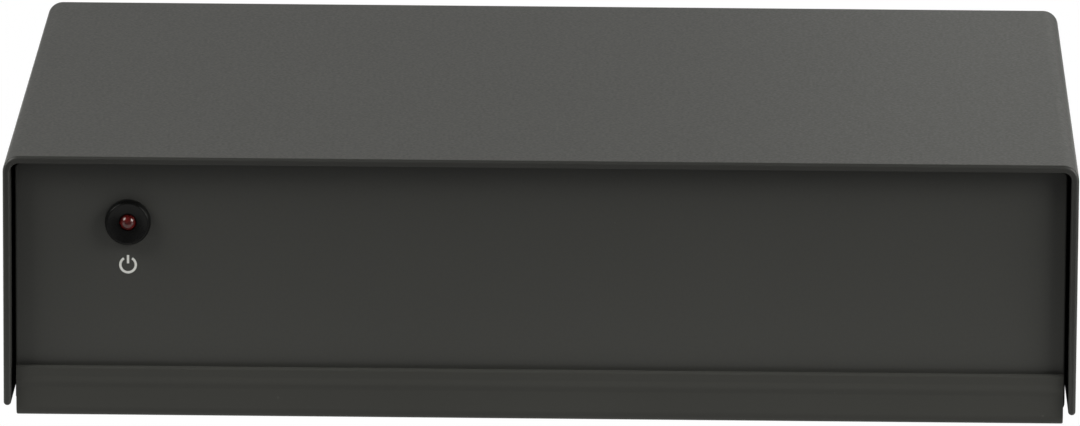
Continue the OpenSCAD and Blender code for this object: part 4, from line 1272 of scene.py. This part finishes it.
@dataclass(frozen=True)
class SocketInserts(TurnedNode):
    """The coloured insulators of one channel in both pairs, with a raised collar round the contact."""

    count: int = 2
    bore: float = 2.12 * MM
    edge: float = 0.25 * MM
    rim: Profile = ((-0.42 * MM, 0), (-0.5 * MM, -0.35 * MM))
    collar: Profile = ((0.55 * MM, -0.35 * MM), (0.5 * MM, 0), (0.12 * MM, 0), (0, -0.12 * MM))

    def profile(self, radius: float, length: float) -> Profile:
        """The outline from the panel over the rim, the well and the collar.

        Args:
            radius: an insert's outer radius.
            length: from the panel to the rim.

        Returns:
            Radius and height of each ring.
        """
        return [
            (self.bore, 0), (radius, 0), (radius, length - self.edge),
            *arc((radius - self.edge, length - self.edge), self.edge, 0, 90, 4),
            *outline((radius, length), self.rim), *outline((self.bore, length), self.collar), (self.bore, 0),
        ]


@dataclass(frozen=True)
class GroundStud(TurnedNode):
    """The ground terminal's stud, with a head, a thread and an upset end."""

    head: float = 3.75 * MM
    head_edge: float = 0.3 * MM
    head_length: float = 2.4 * MM
    crest: float = 2 * MM
    root: float = 1.7 * MM
    pitch: float = 0.7 * MM
    land: float = 0.1
    upset: float = 2.45 * MM
    upset_length: float = 0.7 * MM
    upset_edge: Profile = ((-0.15 * MM, 0), (0, 0.15 * MM))
    end_round: float = 0.3 * MM
    centre: Profile = ((0.6 * MM, 0), (0, -0.15 * MM))

    def profile(self, radius: float, length: float) -> Profile:
        """The outline from the head to the upset end.

        Args:
            radius: half of the node's width.
            length: from the head to the upset end.

        Returns:
            Radius and height of each ring.
        """
        start, upset_at = self.head_length, length - self.upset_length
        turns = int((upset_at - start) / self.pitch)
        rounding = (self.upset - self.end_round, length - self.end_round)
        return [
            (0, 0), (self.head - self.head_edge, 0), (self.head, self.head_edge),
            (self.head, start), (self.crest, start),
            *thread_points(self.crest, self.root, start, self.pitch, turns, self.land),
            (self.crest, upset_at), *outline((self.upset, upset_at), self.upset_edge),
            *arc(rounding, self.end_round, 0, 90, 4), *outline((0, length), self.centre),
        ]


@dataclass(frozen=True)
class ThumbNut(TurnedNode):
    """The ground terminal's thumb nut, with a straight knurl, a neck and a cupped outer face."""

    bore: float = 2.05 * MM
    lead_in: Profile = ((0, 0.2 * MM), (0.2 * MM, 0))
    neck_step: float = 1.2 * MM
    neck_edge: Profile = ((-0.2 * MM, 0), (0, 0.2 * MM))
    neck_length: float = 1.5 * MM
    chamfer: float = 0.7 * MM
    cup: Profile = ((1.1 * MM, 0), (0.9 * MM, -0.35 * MM), (0.25 * MM, -0.35 * MM), (0, -0.6 * MM))
    knurl_teeth: int = 48
    knurl_depth: float = 0.3 * MM

    def profile(self, radius: float, length: float) -> Profile:
        """The outline over the neck and the knurl into the cup and back through the bore.

        Args:
            radius: the radius over the knurl.
            length: from the neck to the outer face.

        Returns:
            Radius and height of each ring.
        """
        neck, shoulder = radius - self.neck_step, radius - self.chamfer
        return [
            *outline((self.bore, 0), self.lead_in), *outline((neck, 0), self.neck_edge),
            (neck, self.neck_length), (shoulder, self.neck_length), (radius, self.neck_length + self.chamfer),
            (radius, length - self.chamfer), (shoulder, length), *outline((self.bore, length), self.cup),
            (self.bore, self.lead_in[0][1]),
        ]

    def rework(self, shape: Piece, radius: float) -> None:
        """Draws every other corner of the rim in, as the knurl.

        Args:
            shape: the turned nut.
            radius: the radius over the knurl.
        """
        step = math.pi / self.knurl_teeth

        def in_groove(vert: bmesh.types.BMVert) -> bool:
            """Whether a corner lies on the rim, between two teeth."""
            turn = round(math.atan2(vert.co.y, vert.co.x) / step)
            return vert.co.xy.length > radius - FLUSH and turn % 2 == 1

        scale = 1 - self.knurl_depth / radius
        with editing(shape, Pick.VERTS):
            select(shape, Pick.VERTS, in_groove)
            bpy.ops.transform.resize(value=(scale, scale, 1), center_override=(0, 0, 0))


@dataclass(frozen=True)
class InletPin(TurnedNode):
    """The power inlet's centre pin, with a groove near its round tip."""

    groove_rise: float = 2.2 * MM
    groove: Profile = ((0, 0), (-0.12 * MM, 0.2 * MM), (-0.12 * MM, 0.5 * MM), (0, 0.7 * MM))

    def profile(self, radius: float, length: float) -> Profile:
        """The outline from the root to the tip."""
        groove = outline((radius, length - self.groove_rise), self.groove)
        return [(0, 0), (radius, 0), *groove, *arc((0, length - radius), radius, 0, 90, 10)]


REAR_PIECES = (
    BrokenNode("input_block", "input_socket_body", SOCKET_PLASTIC, BLACK_PLASTIC, 0.25 * MM, 3),
    SocketShells("input_shells", "input_socket_shells", NICKEL, "nickel"),
    BrokenNode("input_contacts", "input_centre_contacts", BRASS, "spring_brass", 0.06 * MM),
    BrokenNode("output_block", "output_socket_body", SOCKET_PLASTIC, BLACK_PLASTIC, 0.25 * MM, 3),
    SocketShells("output_shells", "output_socket_shells", NICKEL, "nickel"),
    BrokenNode("output_contacts", "output_centre_contacts", BRASS, "spring_brass", 0.06 * MM),
    SocketInserts("left_inserts", "white_inserts", WHITE_INSERT, "socket_white"),
    SocketInserts("right_inserts", "red_inserts", RED_INSERT, "socket_red"),
    GroundStud("ground_stud", "threaded_stud", TURNED_NICKEL, "nickel", steps=48, crease=30),
    BrokenNode("ground_lock_nut", "lock_nut", ZINC, "nickel", 0.22 * MM),
    BrokenNode("ground_tag", "solder_tag", TIN, "tinned_steel", 0.08 * MM),
    BrokenNode("ground_washer", "loose_washer", ZINC, "nickel", 0.12 * MM, 3, body=Body.WASHER),
    ThumbNut(
        "ground_thumb_nut", "thumb_nut_knob", TURNED_NICKEL, "nickel", steps=96, crease=20,
        body=Body.THUMB_NUT,
    ),
    BrokenNode("inlet_housing", "inlet_body", INLET_PLASTIC, BLACK_PLASTIC, 0.3 * MM, 3),
    InletPin("inlet_contacts", "inlet_pin", NICKEL, "nickel", steps=48),
    BrokenNode("switch_frame", "switch_plate", SHEET_STEEL, "tinned_steel", 0.1 * MM),
    BrokenNode("switch_body", "switch_base", PHENOLIC, "phenolic", 0.2 * MM),
    BrokenNode("switch_slider", "switch_knob", KNOB_PLASTIC, BLACK_PLASTIC, 0.14 * MM, 3, body=Body.SLIDER),
    BrokenNode("switch_terminals", "switch_lugs", TIN, "tinned_steel", 0.08 * MM),
)


# ---------------------------------------------------------------- inside


@dataclass(frozen=True)
class CanCapacitors(NodePiece):
    """Upright can capacitors: a printed sleeve with a pale stripe and a scored metal top."""

    radius: float
    count: int
    groove_at: float = 2 * MM
    groove: float = 0.45 * MM
    edge: float = 0.5 * MM
    crimp: float = 0.85 * MM
    top: Profile = ((0.1 * MM, 0), (0, -0.15 * MM))
    score_share: float = 0.8  # of the bare top
    score_half: float = 0.12 * MM
    score_depth: float = 0.3 * MM
    stripe_angle: float = 22

    def make(self) -> Piece:
        """Turns one can, prints its stripe, scores its top and copies it.

        Returns:
            All cans of the node.
        """
        low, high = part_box(self.node)
        radius, height = self.radius, high.z - low.z
        bare = radius - self.crimp
        top = outline((bare, height), self.top)
        profile = [
            (0, 0), (radius, 0), (radius, self.groove_at - self.groove),
            *arc((radius, self.groove_at), self.groove, -90, -270, 6),
            *arc((radius - self.edge, height - self.edge), self.edge, 0, 90, 5), *top, (0, top[-1][1]),
        ]
        can = turn_up("can", profile, 64)
        for finish in (CAN_SLEEVE, CAN_STRIPE, CAN_ALLOY):
            can.data.materials.append(finish.material())
        self.mark_faces(can, bare, height)
        half = Vector((bare * self.score_share, self.score_half, 0))
        floor, above = Vector((0, 0, height - self.score_depth)), Vector((0, 0, height + OVERCUT))
        for turn in (0, math.pi / 2):
            score = block("score", floor - half, above + half)
            score.data.transform(Matrix.Rotation(turn, 4, "Z"))
            carve(can, score)
        shade(can, 30)
        across = spread(low.x + radius, high.x - radius, self.count)
        return copy_at(can, self.name, [Matrix.Translation((x, (low.y + high.y) / 2, low.z)) for x in across])

    def mark_faces(self, can: Piece, top: float, height: float) -> None:
        """Gives the stripe and the bare top their own materials.

        Args:
            can: the turned can.
            top: radius of the bare top.
            height: height of the can.
        """
        half = math.radians(self.stripe_angle)
        for face in can.data.polygons:
            around_axis = math.atan2(face.center.x, -face.center.y)
            if face.center.z > height - 2 * NEAR and face.center.xy.length < top:
                face.material_index = 2
            elif abs(around_axis) < half and abs(face.normal.z) < 0.5:
                face.material_index = 1


CAN_SLOT = (CAN_SLEEVE, "capacitor_sleeve")
INNER_PIECES = (
    CanCapacitors("filter_capacitors", "filter_cans", *CAN_SLOT, 6.25 * MM, 2),
    CanCapacitors("coupling_capacitors", "coupling_cans", *CAN_SLOT, 3.15 * MM, 4),
    BrokenNode("heat_sink", "finned_heat_sink", SINK_ALLOY, "heat_sink_alloy", 0.15 * MM),
    BrokenNode("film_capacitors", "film_blocks", FILM_LACQUER, "film_red", 0.6 * MM),
    BrokenNode("amp_chips", "amp_chip_bodies", CHIP_PLASTIC, "chip_black", 0.15 * MM),
    BrokenNode("amp_sockets", "chip_sockets", SOCKET_PLASTIC, "chip_black", 0.15 * MM),
    BrokenNode("regulators", "regulator_bodies", CHIP_PLASTIC, "chip_black", 0.15 * MM),
    BrokenNode("lamp_plug", "lamp_wire_plug", CONNECTOR_PLASTIC, "connector_cream", 0.25 * MM),
    BrokenNode("lamp_header", "lamp_board_header", CONNECTOR_PLASTIC, "connector_cream", 0.15 * MM),
    BrokenNode("switch_header", "switch_board_header", CONNECTOR_PLASTIC, "connector_cream", 0.15 * MM),
    BrokenNode("rectifier_diodes", "diode_bodies", CHIP_PLASTIC, "chip_black", 0.15 * MM),
    BrokenNode("board_standoffs", "hex_standoffs", STANDOFF_BRASS, "spring_brass", 0.15 * MM),
)


@dataclass(frozen=True)
class KeptNodes:
    """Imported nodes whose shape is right: they stay and get a better material."""

    first_row: float = 10 * MM
    row_pitch: float = 12 * MM
    lacquer: Colour = (0.30, 0.46, 0.55)
    crease: float = 35

    def build(self, nodes: dict[str, Piece]) -> None:
        """Dresses each kept node.

        Args:
            nodes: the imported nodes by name.
        """
        board_low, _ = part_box("circuit_board")
        bands = BandedBody("resistor_lacquer", self.lacquer, board_low.y + self.first_row, self.row_pitch)
        finishes: dict[str, Finish] = {
            "lamp_leads": TIN, "lamp_wires": RED_WIRE, "ground_wire": GREEN_WIRE, "switch_wires": BLACK_WIRE,
            "amp_chip_legs": TIN, "resistor_leads": TIN, "diode_leads": TIN, "regulator_legs": TIN,
            "circuit_board": BOARD_MASK, "resistors": bands,
        }
        for name, finish in finishes.items():
            node = nodes[name]
            node.data.materials.clear()
            node.data.materials.append(finish.material())
            only(node)
            bpy.ops.object.shade_smooth_by_angle(angle=math.radians(self.crease))
            log.info("%s: kept, dressed in %s", name, finish.name)


# ---------------------------------------------------------------- studio


@dataclass(frozen=True)
class Viewpoint:
    """Where the camera stands and how it is turned."""

    place: Vector = field(default_factory=lambda: Vector((29.65, -1985.2, 468.2)) * MM)
    yaw: float = -0.89
    pitch: float = 12.617
    roll: float = 0.339
    lens: float = 374.8
    sensor: float = 36

    def build(self) -> None:
        """Sets the camera up."""
        yaw, pitch = math.radians(self.yaw), math.radians(self.pitch)
        ahead = Vector((math.sin(yaw) * math.cos(pitch), math.cos(yaw) * math.cos(pitch), -math.sin(pitch)))
        side = ahead.cross(Vector((0, 0, 1))).normalized()
        above = side.cross(ahead)
        turn = Matrix((side, above, -ahead)).transposed() @ Matrix.Rotation(math.radians(self.roll), 3, "Z")
        data = bpy.data.cameras.new("camera")
        data.lens, data.sensor_width = self.lens, self.sensor
        camera = bpy.data.objects.new("camera", data)
        camera.matrix_world = Matrix.Translation(self.place) @ turn.to_4x4()
        bpy.context.scene.collection.objects.link(camera)
        bpy.context.scene.camera = camera


@dataclass(frozen=True)
class SoftBox:
    """A soft lamp that shines from its place towards its aim."""

    name: str
    place: Vector
    width: float
    height: float
    radiance: float
    aim: Vector = field(default_factory=Vector)
    colour: Colour = (1.0, 1.0, 0.95)

    def build(self) -> None:
        """Hangs the lamp, unseen by the camera."""
        data = bpy.data.lights.new(self.name, "AREA")
        data.shape = "RECTANGLE"
        data.size, data.size_y = self.width, self.height
        data.energy = self.radiance * math.pi * self.width * self.height
        data.color = self.colour
        lamp = bpy.data.objects.new(self.name, data)
        lamp.location = self.place
        lamp.rotation_euler = (self.place - self.aim).to_track_quat("Z", "Y").to_euler()
        lamp.visible_camera = False
        bpy.context.scene.collection.objects.link(lamp)


def around(azimuth: float, elevation: float, distance: float) -> Vector:
    """A place round the object: degrees to the right of straight in front, degrees up, and metres away."""
    a, e = math.radians(azimuth), math.radians(elevation)
    return distance * Vector((math.sin(a) * math.cos(e), -math.cos(a) * math.cos(e), math.sin(e)))


@dataclass(frozen=True)
class Studio:
    """A white floor, a dim surround that is lighter below than above, and soft boxes."""

    floor_size: float = 60
    above: float = 0.05
    level: float = 0.13
    below: float = 0.12
    stops: tuple[float, float, float] = (0.48, 0.56, 0.8)
    boxes: tuple[SoftBox, ...] = (
        SoftBox("back_box", around(178, 22, 3.0), 4.0, 1.6, 0.6),
        SoftBox("rear_right_box", Vector((0.2, 0.5, 0.19)), 0.3, 0.12, 0.7, Vector((0.06, 0, 0.05))),
        SoftBox("right_box", around(65, 28, 0.75), 0.5, 0.4, 6.9),
        SoftBox("left_box", around(-70, 38, 0.8), 0.5, 0.4, 6.8),
        SoftBox("right_table", around(55, -8, 0.8), 0.4, 0.35, 0.7),
        SoftBox("left_table", around(-55, -8, 0.8), 0.4, 0.35, 0.5),
        SoftBox("rear_right_table", around(138, -5, 0.8), 0.5, 0.3, 2.0),
        SoftBox("rear_left_table", around(-138, -5, 0.8), 0.5, 0.3, 2.0),
        SoftBox("floor_card", Vector((0.03, -0.0992, 0.0004)), 0.4, 0.0665, 0.5, Vector((0.03, -0.0992, 1))),
    )

    def build(self) -> None:
        """Lays the floor, lights the surround and hangs the boxes."""
        bpy.context.scene.view_settings.view_transform = "Standard"
        self.lay_floor()
        self.light_surround()
        for box in self.boxes:
            box.build()

    def lay_floor(self) -> None:
        """A plain white floor that only the camera sees, as if it were lit evenly."""
        bpy.ops.object.select_all(action="DESELECT")
        bpy.ops.mesh.primitive_plane_add(size=self.floor_size)
        floor = bpy.context.active_object
        floor.name = "floor"
        white = bpy.data.materials.new("floor_white")
        tree = NodeTree(white)
        tree.add("OutputMaterial", {"Surface": tree.add("Emission").outputs[0]})
        floor.data.materials.append(white)
        for ray in ("diffuse", "glossy", "transmission", "shadow"):
            setattr(floor, f"visible_{ray}", False)

    def light_surround(self) -> None:
        """Lights the surround by height: the ramp runs from straight down to straight up."""
        world = bpy.data.worlds.new("surround")
        bpy.context.scene.world = world
        tree = NodeTree(world)
        height = tree.add("SeparateXYZ", {0: tree.add("TexCoord").outputs["Generated"]}).outputs["Z"]
        share = tree.add("MapRange", {"Value": height, "From Min": -1}).outputs["Result"]
        ramp = tree.add("ValToRGB", {"Fac": share})
        stops = zip((0.0, *self.stops), (self.below, self.below, self.level, self.above))
        elements = ramp.color_ramp.elements
        while len(elements) <= len(self.stops):
            elements.new(0.5)
        for element, (position, value) in zip(elements, stops):
            element.position = position
            element.color = (value, value, value, 1)
        background = tree.add("Background", {"Color": ramp.outputs["Color"]})
        tree.add("OutputWorld", {"Surface": background.outputs[0]})


# ---------------------------------------------------------------- the whole


def main() -> None:
    """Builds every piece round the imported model."""
    logging.basicConfig(level=logging.INFO, format="%(name)s: %(message)s")
    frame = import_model()
    Viewpoint().build()
    Studio().build()
    for builder in (*CASE_PIECES, *LAMP_PIECES, *SCREWS, *REAR_PIECES, *INNER_PIECES):
        builder.build()
    KeptNodes().build(frame["nodes"])


if __name__ == "__main__":
    main()
